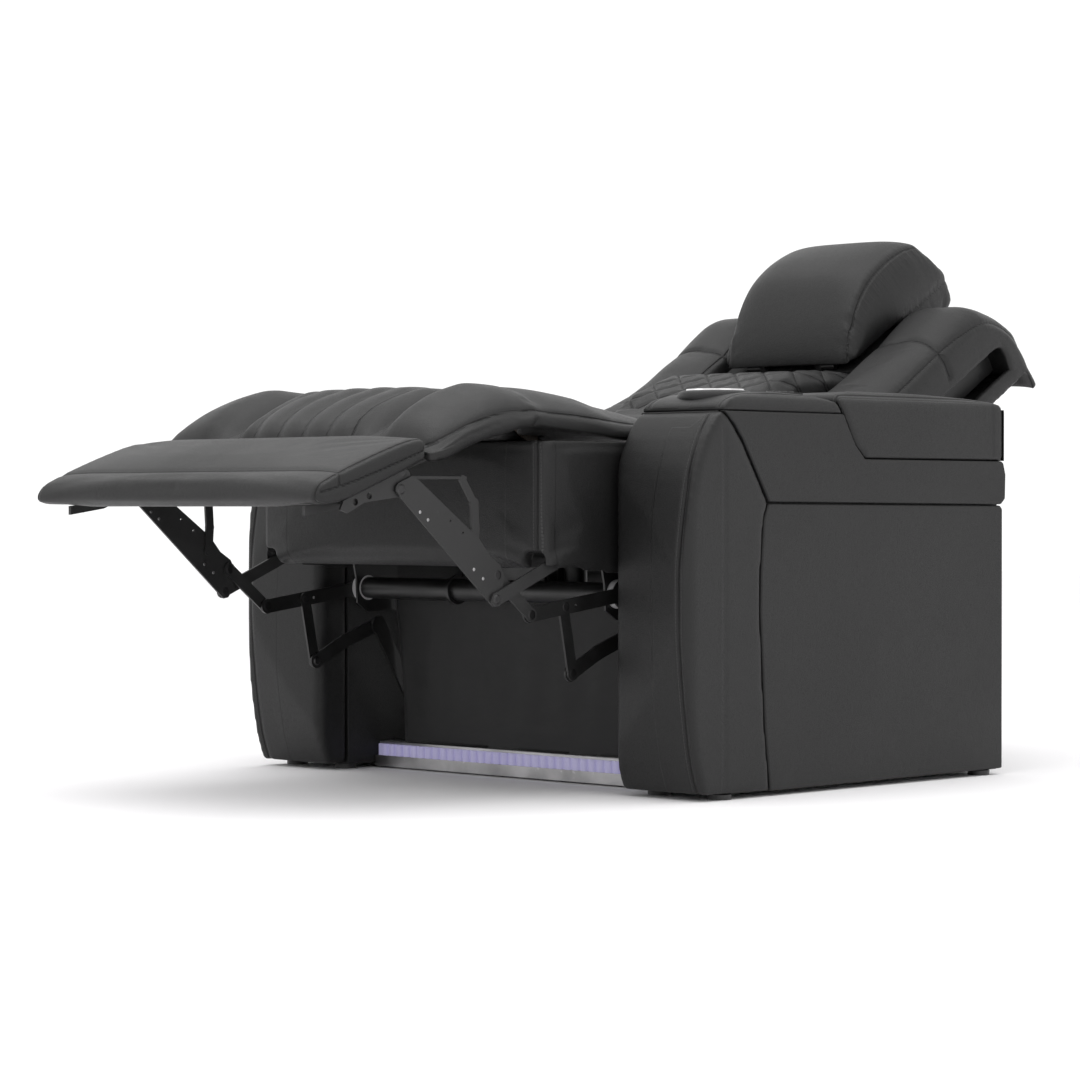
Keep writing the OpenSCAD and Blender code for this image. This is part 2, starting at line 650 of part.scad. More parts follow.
module seat_box() {
    corner = 25;
    rim = 20;
    outer = concat([[box_half, box_rear], [-box_half, box_rear]],
        arc([-box_half + corner, box_front + corner], corner, 180, 270, 8),
        arc([box_half - corner, box_front + corner], corner, 270, 360, 8));
    profile = concat([[box_rear, box_top], [box_front, box_top]],
        arc([box_front + rim, box_bottom + rim], rim, 180, 255, 5),
        [[box_front + 2.5 * rim, box_bottom - 0.1 * rim], [-1.1 * rim, box_bottom - 0.6 * rim],
        [box_rear, box_bottom - 0.6 * rim]]);
    side_in = box_half - skin_side;
    color(leather) difference() {
        intersection() {
            translate([0, 0, box_bottom - rim]) linear_extrude(box_top - box_bottom + rim) polygon(outer);
            side_shape(-box_half, box_half) polygon(profile);
        }
        block([-side_in, box_front + skin_front, 0], [side_in, box_rear + over, box_top + over]);
        both() block([layer(5) - 2 * link_t, box_front - over, 0],
            [links_half + link_t / 2, 0, box_bottom + 1.3 * rim]);
    }
}
cushion_half = box_half - over;
cushion_rear = 340;
cushion_edge = 40;
tuft_rise = 3;
cushion_shares = [[0, 0.93], [0.03, 0.985], [0.1, 1], [0.25, 0.93], [0.36, 0.74], [0.6, 0.53],
    [0.85, 0.42], [0.95, 0.33], [1, 0.18]];
module seat_cushion() {
    y0 = knee[0] + over / 2;
    z0 = box_top + over / 2;
    thick = 85;
    crown = 16;
    inset = 14;
    function top(x, y) = let (t = (y - y0) / (cushion_rear - y0),
            e = edge_rise(cushion_half - abs(x), cushion_edge))
        z0 + thick * lookup(t, cushion_shares) - crown * (pow(abs(x) / cushion_half, 2) + 1.5 * (1 - e))
        + tuft_rise * cos(400 * x / cushion_half) * sin(180 * t);
    notch = 22;
    color(leather) difference() {
        pad(concat([-cushion_half], spread(-cushion_half + inset, cushion_half - inset, 16), [cushion_half]),
            [for (s = [0, 0.015, 0.05, 0.1, 0.18, 0.26, 0.36, 0.48, 0.6, 0.72, 0.85, 0.93, 0.98, 1])
                y0 + s * (cushion_rear - y0)],
            function(x, y) top(x, y), function(x, y) z0);
        both() block([knee_x - cheek_t, y0 - over, z0 - over],
            [knee_x + notch, y0 + 3 * notch, knee[1] + eye_r + cheek_t]);
    }
}

// Legrest
arm_x = knee_x + knee_t + link_gap;
frame_t = 6;
chaise_front = -400;
chaise_len = knee[0] - chaise_front;
// Underside of the chaise pad from the knee forwards, over its frame and at its skirts
under_shares = [[0, 0.073], [0.266, 0.0275], [0.633, -0.0826], [1, -0.202]];
skirt_shares = [[0, 0.0046], [0.083, -0.0275], [0.275, -0.069], [0.528, -0.138], [0.78, -0.234], [1, -0.298]];
function under_at(y, shares) = knee[1] + chaise_len * lookup((knee[0] - y) / chaise_len, shares);
chaise_top_shares = [[0, 0.965], [0.18, 1], [0.56, 0.95], [0.8, 0.88], [0.9, 0.8], [0.97, 0.6], [1, 0.35]];
module chaise_pad() {
    y1 = knee[0] - 2 * seat_gap;
    rise = 54;
    drop = 66;
    valley_h = 42;
    valley_w = 26;
    edge_w = 60;
    channel_h = 2.5;
    channel_pitch = 75;
    half = box_half;
    mid = lumbar_half;
    function run(y) = (y1 - y) / (y1 - chaise_front);
    function under(x, y) = under_at(y, abs(x) < 0.914 * half ? under_shares : skirt_shares);
    function top(x, y) = let (t = run(y), a = abs(x),
            c = knee[1] - drop + (rise + drop) * lookup(t, chaise_top_shares),
            v = exp(-pow((a - mid) / valley_w, 2)), e = edge_rise(half - a, edge_w))
        c - valley_h * (0.2 + 0.8 * ease((t - 0.15) / 0.6)) * v * (t > 0.93 ? 0.4 : 1)
        - edge_w * 0.43 * (1 - e) - channel_h * (a > mid ? 2.4 : 1.6 * t)
        - (a < 0.91 * mid ? channel_h * (1 + cos(a * 360 / channel_pitch)) * sin(min(180, t * 200)) : 0);
    across_shares = [0, 0.092, 0.184, 0.276, 0.368, 0.439, 0.506, 0.574, 0.65, 0.752, 0.844, 0.908, 0.92,
        0.966, 0.988, 1];
    xs = concat([for (i = [15 : -1 : 1]) -across_shares[i] * half], across_shares * half);
    ys = [for (t = [1, 0.985, 0.95, 0.9, 0.83, 0.75, 0.66, 0.56, 0.46, 0.36, 0.27, 0.18, 0.1, 0.04, 0])
        y1 - t * (y1 - chaise_front)];
    color(leather) pad(xs, ys, function(x, y) max(top(x, y), under(x, y) + cheek_t),
        function(x, y) under(x, y));
}
foot_rear = -404;
foot_front = -620;
foot_top_shares = [[0, 0.12], [0.012, 0.22], [0.05, 0.33], [0.24, 0.49], [0.5, 0.69], [0.77, 0.90],
    [0.93, 1], [1, 0.97]];
foot_low_shares = [[0, 0.05], [0.05, 0], [0.12, -0.01], [0.28, 0.03], [0.46, 0.18], [0.68, 0.36],
    [0.82, 0.48], [1, 0.64]];
foot_z0 = 443;
foot_z1 = 543;
foot_wider = 3;
function foot_low(y) = foot_z0 + (foot_z1 - foot_z0)
    * lookup((y - foot_front) / (foot_rear - foot_front), foot_low_shares);
module footrest_pad() {
    half = box_half + foot_wider;
    crown = 9;
    edge_w = 14;
    inset = 8;
    function share(y) = (y - foot_front) / (foot_rear - foot_front);
    function top(x, y) = foot_z0 + (foot_z1 - foot_z0) * lookup(share(y), foot_top_shares)
        + crown * (edge_rise(half - abs(x), 6 * edge_w) * sin(180 * share(y))
        - 0.45 * (1 - edge_rise(half - abs(x), edge_w)));
    color(leather) pad(concat([-half], spread(-half + inset, half - inset, 16), [half]),
        [for (s = [0, 0.012, 0.05, 0.12, 0.24, 0.38, 0.5, 0.64, 0.77, 0.88, 0.96, 1])
            foot_front + s * (foot_rear - foot_front)],
        function(x, y) max(top(x, y), foot_low(y) + knee_t), function(x, y) foot_low(y));
}
module legrest_frame() {
    bar_w = 19;
    function foot_at(y) = [y, foot_low(y) - seat_gap];
    tip = [chaise_front, under_at(chaise_front, under_shares)];
    front = foot_at(foot_front + 1.4 * bar_w);
    sole = foot_at(foot_front + 0.28 * (foot_rear - foot_front));
    a = foot_at(foot_front + 4.7 * bar_w);
    b = foot_at(foot_rear - 2.4 * bar_w);
    elbow = tip + bar_w * [2.1, -0.8];
    // Top line of the deck that carries the chaise pad
    deck = [for (t = [0.1, 0.266, 0.633, 0.99]) let (y = knee[0] - t * chaise_len)
        [y, under_at(y, under_shares) - seat_gap]];
    deck_t = 5;
    color(steel_black) {
        side_shape(-arm_x, arm_x) polygon(concat(deck, [for (i = [3 : -1 : 0]) deck[i] - [0, deck_t]]));
        both() side_shape(arm_x, arm_x + frame_t) difference() {
            union() {
                bar_2d(knee, elbow, bar_w);
                polygon(concat(deck, [elbow, knee]));
                polygon([front, sole, a, b, foot_at(foot_rear), tip + bar_w * [0.5, -0.5],
                    tip + bar_w * [2.1, -0.3], tip + bar_w * [2.1, -1.3], tip + bar_w * [-1.4, -2.4],
                    b - [0, bar_w], a - [0, bar_w], front - [0, 0.7 * bar_w]]);
                translate(knee) circle(r = eye_r);
            }
            hole_2d(knee, rivet_r + fit);
        }
        pin_x([chaise_front + 3.7 * bar_w, knee[1] - 2.5 * bar_w], 0.37 * bar_w, -arm_x, arm_x);
        pin_x(foot_pivot + bar_w * [-1.4, 0.05], 0.32 * bar_w, -layer(2) + link_t, layer(2) - link_t);
        pin_x(foot_at(foot_front + 5 * bar_w) - [0, bar_w / 2], 0.32 * bar_w,
            -layer(2) + link_t, layer(2) - link_t);
    }
}
module footrest_brackets() {
    p = foot_pivot;
    boss_r = 12;
    function foot_at(y, down) = [y, foot_low(y) - down];
    y1 = foot_rear - 2.5 * boss_r;
    y0 = foot_front + 5.8 * boss_r;
    color(steel_black) both() side_shape(layer(2) - link_t, layer(2)) difference() {
        union() {
            translate(p) circle(r = boss_r);
            translate(foot_at(y1 + boss_r / 4, 0.85 * boss_r)) circle(r = 0.75 * boss_r);
            polygon([foot_at(y1 - boss_r / 6, seat_gap), foot_at(p[0] - 2.8 * boss_r, seat_gap),
                foot_at(y0, seat_gap), foot_at(y0 - boss_r / 2, 0.9 * boss_r),
                foot_at(y0 + 0.7 * boss_r, 1.75 * boss_r),
                foot_at(y0 + 3.3 * boss_r, 1.5 * boss_r), p - boss_r * [0.1, 0.95], p + boss_r * [0.8, -0.4],
                foot_at(y1 + 0.8 * boss_r, boss_r)]);
        }
        hole_2d(p, rivet_r + fit);
        hole_2d(foot_at(p[0] - 4.8 * boss_r, boss_r), rivet_r);
        hole_2d(foot_at(p[0] - 7 * boss_r, 0.9 * boss_r), rivet_r);
    }
}

// Legrest linkage, on both sides
module link(p, q, n, w = link_w) {
    side_shape(layer(n) - link_t, layer(n)) difference() {
        bar_2d(p, q, w);
        hole_2d(p, rivet_r + rivet_clear);
        hole_2d(q, rivet_r + rivet_clear);
    }
}
module carrier_links() {
    color(steel_black) both() {
        side_shape(layer(0) - link_t, layer(0)) difference() {
            bar_2d(carrier_root, carrier_front, link_w);
            hole_2d(carrier_root, stud_r + rivet_clear);
        }
        pin_x(carrier_front, rivet_r, layer(1) - link_t, layer(0) - link_t);
    }
}
main_hole_shares = [[-0.097, 0.125], [-0.173, 0.181], [-0.262, 0.399], [-0.363, 0.471], [-0.544, 0.475],
    [-0.608, 0.52]];
module main_links() {
    c = carrier_front;
    f = foot_pivot;
    low = main_w * [-0.6, 1.4];
    bow = main_w * [-1.9, 2.84];
    neck = main_w * [0.7, -0.65];
    color(steel_black) both() {
        side_shape(layer(1) - link_t, layer(1)) difference() {
            union() {
                bar_2d(c, c + low, main_w);
                bar_2d(c + low, c + bow, main_w);
                bar_2d(c + bow, f + neck, main_w * 0.9);
                bar_2d(f + neck, f, main_w * 0.73);
            }
            hole_2d(c, rivet_r + rivet_clear);
            hole_2d(drive_pivot, rivet_r + rivet_clear);
            hole_2d(f, rivet_r + rivet_clear);
            for (h = main_hole_shares) hole_2d(c + h * main_len, rivet_r * 0.8);
        }
        pin_x(f, rivet_r * 1.4, layer(1), layer(1) + head_t);
    }
}
module pad_supports() {
    p = support_pivot;
    strap_w = 8;
    z = p[1] + 13.9 * strap_w;
    y0 = p[0] - 16.1 * strap_w;
    y1 = p[0] - 2 * strap_w;
    shelf_t = 4;
    color(steel_black) both() {
        side_shape(layer(2) - link_t, layer(2)) union() {
            bar_2d(p, p + strap_w * [0.3, 4.75], strap_w * 2);
            bar_2d(p + strap_w * [0.3, 4.75], p + strap_w * [0, 9.5], strap_w * 2);
            bar_2d(p + strap_w * [0, 9.5], [y1 - strap_w, z], strap_w * 1.5);
            polygon([[y0, z], [y1, z], [y1, z + shelf_t], [y0, z + shelf_t]]);
        }
        block([layer(2) - 8.2 * strap_w, y0, z], [layer(2), y1, z + shelf_t]);
        pin_x(p, rivet_r * 0.8, layer(2), layer(1) - link_t);
    }
}
tube_lever_len = 65;
tube_lever_angle = 40;
module torque_tube() {
    lever_t = 2 * lever_half;
    color(steel_grey) {
        difference() {
            pin_x(tube, tube_r, -layer(3) + link_t, layer(3) - link_t);
            pin_x(tube, tube_r - bush_wall, -links_half, links_half);
        }
        side_shape(-drive_x - lever_t / 2, -drive_x + lever_t / 2) difference() {
            union() {
                translate(tube) circle(r = tube_r + lever_t);
                bar_2d(tube, tube + polar(tube_lever_len, tube_lever_angle), rivet_r * 4);
            }
            translate(tube) circle(r = tube_r);
            hole_2d(tube + polar(tube_lever_len, tube_lever_angle), rivet_r * 1.2);
        }
    }
}
module crank_arms() {
    color(steel_black) both() {
        side_shape(layer(3) - link_t, layer(3)) difference() {
            union() {
                translate(tube) circle(r = tube_r + rivet_r);
                bar_2d(tube, crank_tip, link_w * 1.14);
            }
            hole_2d(swing_top, rivet_r);
            hole_2d(swing_top + link_w * [1, 0.1], rivet_r / 2);
        }
        pin_x(crank_tip, rivet_r, layer(3), layer(2) - rivet_clear);
    }
}
module drive_links() { color(steel_black) both() link(crank_tip, drive_pivot, 2); }
module swing_arms() {
    bent = (arm_pivot + swing_low) / 2 + link_w * [-0.29, 0.1];
    color(steel_black) both() {
        side_shape(layer(5) - link_t, layer(5)) difference() {
            union() {
                bar_2d(arm_pivot, bent, link_w * 1.14);
                bar_2d(bent, swing_low, link_w * 1.14);
            }
            hole_2d(arm_pivot, rivet_r + rivet_clear);
        }
        pin_x(swing_low, rivet_r, layer(5), layer(4) - rivet_clear);
    }
}
module swing_links() { color(steel_black) both() link(swing_low, swing_top, 4); }

// Back, drawn in its own frame: depth runs up along the back and height runs out of its front
module on_back() { translate([0, hinge[0], hinge[1]]) rotate([back_angle, 0, 0]) children(); }
pad_base = -10;
back_eye = 24;
notch = plate_rim + 0.6 * over;
frame_h = 48;
cover_t = 30;
lever_len = 110;
lever_half = 3;
rail_out = plate_in - rail_t;
lever_down = 246.5 - back_angle;
module back_frame() {
    side_t = 7;
    rail_in = rail_out - side_t;
    bar_deep = 20;
    top = 0.875 * back_len;
    bar = 30;
    front = pad_base;
    rear = pad_base - frame_h;
    color(steel_black) on_back() {
        both() {
            side_shape(rail_in, rail_out) union() {
                polygon([[0.83 * back_eye, front], [top, front], [top, rear], [2.5 * back_eye, rear],
                    [0, -0.9 * back_eye], [0, 0.9 * back_eye], [0.5 * back_eye, 0.8 * back_eye]]);
                circle(r = back_eye);
            }
            pin_x([0, 0], hinge_pin_r, rail_out, plate_in + plate_t + fit);
            pin_x([0, 0], hinge_pin_r * 1.5, plate_in + plate_t + fit, plate_in + plate_t + fit + head_t);
        }
        for (y = [0.14, 0.5, 0.83] * back_len)
            block([-rail_in, y, front - bar_deep], [rail_in, y + bar, front]);
        pin_x([0, 0], back_eye / 2, -rail_in, rail_in);
        side_shape(drive_x - lever_half, drive_x + lever_half) difference() {
            union() {
                circle(r = 0.85 * back_eye);
                bar_2d([0, 0], polar(lever_len, lever_down), back_eye);
            }
            hole_2d(polar(lever_len, lever_down), rivet_r * 1.2);
        }
    }
}
// Height of the back pads over their base, along the back
bolster_shares = [[0, 0.969], [0.06, 1], [0.12, 0.919], [0.16, 0.8], [0.225, 0.675], [0.33, 0.569],
    [0.45, 0.5], [0.65, 0.531], [0.76, 0.562], [0.81, 0.575], [0.845, 0.525], [0.886, 0.388],
    [0.92, 0.25], [0.955, 0.05], [0.985, -0.188], [1, -0.412]];
lumbar_shares = [[-0.05, 0.988], [0, 0.969], [0.06, 1], [0.12, 0.919], [0.21, 0.981],
    [0.37, 0.863], [0.45, 0.688], [0.55, 0.45], [0.572, 0.356], [0.59, 0.288]];
pad_h = 160;
pad_edge = 42;
function back_under(y, over_top) = y < notch ? notch
    : y < over_top ? pad_base : y < 0.968 * back_len ? pad_base - frame_h
    : pad_base - frame_h - 1.4 * cover_t;
module bolster() {
    x0 = lumbar_half + seat_gap;
    x1 = back_half;
    inset = 5;
    pleat_h = 3;
    row_shares = [0.06, 0.1, 0.14, 0.19, 0.25, 0.33, 0.42, 0.5, 0.58, 0.65, 0.72, 0.79, 0.84,
        0.878, 0.882, 0.92, 0.95, 0.967, 0.97, 0.985, 1];
    function top(x, y) = let (t = y / back_len, e = edge_rise(min(x - x0, x1 - x), pad_edge))
        pad_h * lookup(t, bolster_shares) - pad_edge * (t < 0.2 ? 0.38 : 0.57) * (1 - e)
        - pleat_h * exp(-pow((t - 0.655) / 0.012, 2));
    pad(concat([x0, x0 + inset], spread(x0 + 3.6 * inset, x1 - 3.2 * inset, 7), [x1 - inset, x1]),
        concat([0, notch - over, notch], row_shares * back_len),
        function(x, y) max(top(x, y), back_under(y, 0.88 * back_len) + cheek_t),
        function(x, y) back_under(y, 0.88 * back_len));
}
module left_back_bolster() { color(leather) on_back() bolster(); }
module right_back_bolster() { color(leather) on_back() mirror([1, 0, 0]) bolster(); }
module lumbar_pad() {
    x1 = lumbar_half;
    row_shares = [0.07, 0.1, 0.14, 0.18, 0.22, 0.26, 0.3, 0.34, 0.38, 0.42, 0.46, 0.5, 0.54, 0.572, 0.588];
    tuft = 66;
    tuft_h = 5;
    function top(x, y) = let (t = y / back_len, e = edge_rise(x1 - abs(x), 0.86 * pad_edge),
            q = t > 0.15 && t < 0.56 ? abs(cos((x + y) * 180 / tuft) * cos((x - y) * 180 / tuft)) : 1)
        pad_h * lookup(t, lumbar_shares) - pad_edge * (t < 0.15 ? 0.29 : 0.62) * (1 - e)
        - tuft_h * (1 - sqrt(q));
    color(leather) on_back() pad(spread(-x1, x1, 20),
        concat([-0.045 * back_len, -0.02 * back_len, notch - over, notch], row_shares * back_len),
        function(x, y) top(x, y), function(x, y) back_under(y, back_len));
}
module outside_back() {
    z1 = pad_base - frame_h;
    z0 = z1 - cover_t;
    top = 0.965 * back_len;
    wall = 6;
    corner = 40;
    low = 2.5 * back_eye;
    roll = 22;
    outline = concat([[-back_half, low], [back_half, low]],
        arc([back_half - corner, top - corner], corner, 0, 90, 8),
        arc([-back_half + corner, top - corner], corner, 90, 180, 8));
    profile = concat([[low, z1], [top - roll / 10, z1]], arc([top - 1.1 * roll, z0 + roll], roll, 0, -90, 6),
        [[low + 1.1 * roll, z0], [low, z0 + roll / 2]]);
    color(leather_side) on_back() difference() {
        intersection() {
            translate([0, 0, z0]) linear_extrude(cover_t) polygon(outline);
            side_shape(-back_half, back_half) polygon(profile);
        }
        block([-back_half + wall * 3, low + wall * 3, z0 + wall],
            [back_half - wall * 3, top - wall * 8, z1 + over]);
    }
}
barrel_head = 6;
head_axis = [0.6036 * back_len, 58];
head_low = head_axis[0] - 1.33 * barrel_head;
plate_low = head_axis[1] - over;
plate_half = 118;
leaf_x = 70;
leaf_w = 30;
head_pin_r = 3;
module neck_board() {
    z1 = head_axis[1] - 1.33 * barrel_head;
    x1 = lumbar_half - cheek_t;
    color(leather_side) on_back() {
        block([-x1, head_low, pad_base], [x1, 0.87 * back_len, z1]);
        both() {
            block([leaf_x - 2 * barrel_head, head_axis[0] - barrel_head, z1],
                [leaf_x, head_axis[0] + barrel_head, head_axis[1] + barrel_head]);
            pin_x(head_axis, head_pin_r, leaf_x, leaf_x + leaf_w - over);
        }
    }
}
module headrest_plate() {
    plate_top = plate_low + cheek_t;
    color(steel_black) on_back() {
        difference() {
            block([-plate_half, head_axis[0] + 1.5 * barrel_head, plate_low],
                [plate_half, 0.83 * back_len, plate_top]);
            block([-plate_half / 2, 0.66 * back_len, plate_low - over], [plate_half / 2, 0.8 * back_len,
                plate_top + over]);
        }
        both() difference() {
            union() {
                pin_x(head_axis, barrel_head, leaf_x + seat_gap, leaf_x + leaf_w);
                block([leaf_x + seat_gap, head_axis[0], plate_low],
                    [leaf_x + leaf_w, head_axis[0] + 2 * barrel_head, plate_top]);
            }
            pin_x(head_axis, head_pin_r + fit, leaf_x - over, leaf_x + leaf_w - over / 2);
        }
    }
}
head_shares = [[0, 0.404], [0.02, 0.449], [0.086, 0.562], [0.17, 0.697], [0.256, 0.815],
    [0.49, 0.865], [0.655, 0.899], [0.75, 0.978], [0.8, 1], [0.85, 0.933], [0.92, 0.685],
    [0.97, 0.517], [1, 0.348]];
module headrest_pad() {
    y0 = head_axis[0] - 2 * barrel_head;
    y1 = 1.038 * back_len;
    head_h = 178;
    flare = 9;
    head_edge = 46;
    fold_pitch = 72;
    function half(y) = head_half + flare * ease((y - y0) / (y1 - y0));
    rows = [0, 0.02, 0.05, 0.069, 0.075, 0.13, 0.2, 0.28, 0.36, 0.44, 0.52, 0.6, 0.67, 0.74, 0.8, 0.85,
        0.9, 0.94, 0.98, 1];
    function under(y) = let (t = (y - y0) / (y1 - y0))
        t < 0.07 ? plate_low + 2 * barrel_head : t < 0.6 ? plate_low + cheek_t
        : plate_low + cheek_t - 0.87 * head_edge * ease((t - 0.6) / 0.4);
    function top(x, y) = let (t = (y - y0) / (y1 - y0), e = edge_rise(half(y) - abs(x), head_edge),
            h = head_h * lookup(t, head_shares))
        h - head_edge * (under(y) < h - head_edge ? 0.74 : 0.17) * (1 - e)
        + 0.28 * flare * cos(x * 360 / fold_pitch) * sin(180 * t);
    color(leather) on_back() pad(spread(-head_half, head_half, 18), [for (r = rows) y0 + r * (y1 - y0)],
        function(x, y) max(top(x, y), under(y) + cheek_t), function(x, y) under(y));
}

// Drives inside the seat box
fork_in = 3.6;
fork_gap = 18;
module fork(x, at, z, toward) {
    // Two cheeks round a lever and the block that carries them on the rod
    for (s = [-1, 1]) let (mid = x + s * (fork_in + cheek_t / 2))
        side_shape(mid - cheek_t / 2, mid + cheek_t / 2) difference() {
            bar_2d([at, z], [at - toward * fork_gap, z], barrel_r * 1.4);
            hole_2d([at, z], rivet_r);
        }
    ends = [at - toward * fork_gap, at - toward * 1.6 * fork_gap];
    block([x - fork_in - cheek_t, min(ends), z - 0.3 * barrel_r],
        [x + fork_in + cheek_t, max(ends), z + 0.3 * barrel_r]);
}
module actuator(x, z, from, to, toward) {
    // Barrel round the rod, gearbox and motor below, and an eye at the fixed end
    motor_r = 19;
    case_h = 38;
    case_end = from + toward * 1.2 * case_h;
    bore = [from + toward * 1.3 * case_h, to + toward * over];
    color([0.2, 0.2, 0.21]) difference() {
        union() {
            rod_y(x, z, barrel_r, min(from, to), max(from, to));
            block([x - barrel_r, min(from, case_end), z - 0.53 * case_h],
                [x + barrel_r, max(from, case_end), z + 0.47 * case_h]);
            translate([x + barrel_r + 0.9 * motor_r, (from + case_end) / 2, z - 0.42 * case_h])
                cylinder(r = motor_r, h = 1.7 * case_h);
        }
        rod_y(x, z, rod_r + fit, min(bore), max(bore));
    }
    color([0.2, 0.2, 0.21]) side_shape(x - rod_r, x + rod_r) difference() {
        bar_2d([from - toward * eye_gap, z], [from, z], 0.95 * motor_r);
        hole_2d([from - toward * eye_gap, z], rivet_r + fit);
        translate([toward > 0 ? from : from - motor_r, z - barrel_r]) square([motor_r, 2 * barrel_r]);
    }
}
eye_gap = 16;
tip_gap = 20;
legrest_eye = cross_rear[0] - 1.2 * cross_r;
recline_tip = hinge + polar(lever_len, back_angle + lever_down);
legrest_tip = tube + polar(tube_lever_len, tube_lever_angle);
module recline_actuator() {
    actuator(drive_x, recline_z, cross_front[0] + eye_gap, recline_tip[0] - 4.8 * tip_gap, 1);
}
module recline_rod() {
    color(bright) rod_y(drive_x, recline_z, rod_r, cross_front[0] + 4.9 * tip_gap, recline_tip[0] - tip_gap);
    color(steel_grey) fork(drive_x, recline_tip[0], recline_z, 1);
}
module legrest_actuator() {
    actuator(-drive_x, legrest_z, legrest_eye - eye_gap, legrest_tip[0] + 2.7 * tip_gap, -1);
}
module legrest_rod() {
    color(bright) rod_y(-drive_x, legrest_z, rod_r, legrest_tip[0] + tip_gap, legrest_eye - 4.4 * tip_gap);
    color(steel_grey) fork(-drive_x, legrest_tip[0], legrest_z, -1);
}

// The pieces of the right arm mirror those of the left
placed() arm_shell();  // left_arm_shell
placed() mirror([1, 0, 0]) arm_shell();  // right_arm_shell
placed() arm_front();  // left_arm_front
placed() mirror([1, 0, 0]) arm_front();  // right_arm_front
placed() side_panel();  // left_side_panel
placed() mirror([1, 0, 0]) side_panel();  // right_side_panel
placed() side_band();  // left_side_band
placed() mirror([1, 0, 0]) side_band();  // right_side_band
placed() arm_top();  // left_arm_top
placed() mirror([1, 0, 0]) arm_top();  // right_arm_top
placed() storage_lid();  // left_storage_lid
placed() mirror([1, 0, 0]) storage_lid();  // right_storage_lid
placed() storage_tub();  // left_storage_tub
placed() mirror([1, 0, 0]) storage_tub();  // right_storage_tub
placed() cup_holder();  // left_cup_holder
placed() mirror([1, 0, 0]) cup_holder();  // right_cup_holder
placed() lid_hinges();
placed() control_panel();
placed() button(0);  // recline_button
placed() button(1);  // legrest_button
placed() button(2);  // headrest_button
placed() button(3);  // light_button
placed() glides();
placed() base_frame();
placed() glide_rails();
placed() led_channel();
placed() led_strip();
placed() front_cloth();
placed() seat_side_plates();
placed() seat_cross_tubes();
placed() seat_runners();
placed() seat_frame();
placed() seat_webbing();
placed() seat_box();
placed() seat_cushion();
placed() tube_bushings();
placed() legrest_frame();
placed() chaise_pad();
placed() footrest_pad();
placed() footrest_brackets();
placed() carrier_links();
placed() main_links();
placed() pad_supports();
placed() torque_tube();
placed() crank_arms();
placed() drive_links();
placed() swing_arms();
placed() swing_links();
placed() back_frame();
placed() left_back_bolster();
placed() right_back_bolster();
placed() lumbar_pad();
placed() outside_back();
placed() neck_board();
placed() headrest_plate();
placed() headrest_pad();
placed() legrest_actuator();
placed() legrest_rod();
placed() recline_actuator();
placed() recline_rod();
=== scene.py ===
import math

import bmesh
import bpy
import numpy as np
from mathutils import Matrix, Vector


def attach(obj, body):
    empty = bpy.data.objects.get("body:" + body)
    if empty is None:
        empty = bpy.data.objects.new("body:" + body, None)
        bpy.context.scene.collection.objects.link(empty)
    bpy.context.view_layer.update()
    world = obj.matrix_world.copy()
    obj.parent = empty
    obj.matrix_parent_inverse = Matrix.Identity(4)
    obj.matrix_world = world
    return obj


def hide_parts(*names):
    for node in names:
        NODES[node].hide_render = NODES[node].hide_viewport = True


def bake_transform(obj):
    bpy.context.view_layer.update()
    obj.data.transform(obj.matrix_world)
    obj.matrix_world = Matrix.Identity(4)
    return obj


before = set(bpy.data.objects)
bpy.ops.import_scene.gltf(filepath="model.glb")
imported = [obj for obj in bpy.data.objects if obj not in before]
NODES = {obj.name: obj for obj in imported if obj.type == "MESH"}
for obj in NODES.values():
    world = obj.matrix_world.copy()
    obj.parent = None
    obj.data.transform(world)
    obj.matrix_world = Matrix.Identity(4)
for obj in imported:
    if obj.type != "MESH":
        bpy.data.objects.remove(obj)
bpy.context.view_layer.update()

# Sizes are in millimetres, as on a maker's drawing: x across, y as depth from the front line of the arms
# towards the rear, and z up from the floor. The reclined back has its own two measures in place of y and z:
# u runs up along it from its hinge, and n stands out of its front. The scene itself is in metres.
FRONT_LINE = 235
HINGE = (470, 430)
LEAN = math.radians(31)
SIDES = (("left", 1), ("right", -1))


def spot(x, y, z):
    """A point of the drawing as a point of the scene."""
    return Vector((x, y - FRONT_LINE, z)) / 1000


def drawn(places):
    """Scene points as drawing points, one row each."""
    return places * 1000 + np.array((0, FRONT_LINE, 0))


def drawn_on_back(places):
    """Scene points as across, along and out of the back."""
    p = drawn(places)
    y, z = p[:, 1] - HINGE[0], p[:, 2] - HINGE[1]
    along = y * math.cos(LEAN) + z * math.sin(LEAN)
    out = z * math.cos(LEAN) - y * math.sin(LEAN)
    return np.stack((p[:, 0], along, out), 1)


def back_to_scene(x, u, n):
    """Points given across, along and out of the back, as scene points, one row each."""
    y = HINGE[0] + u * math.cos(LEAN) - n * math.sin(LEAN) - FRONT_LINE
    z = HINGE[1] + u * math.sin(LEAN) + n * math.cos(LEAN)
    return np.stack((x, y, z), 1) / 1000


# ---- materials

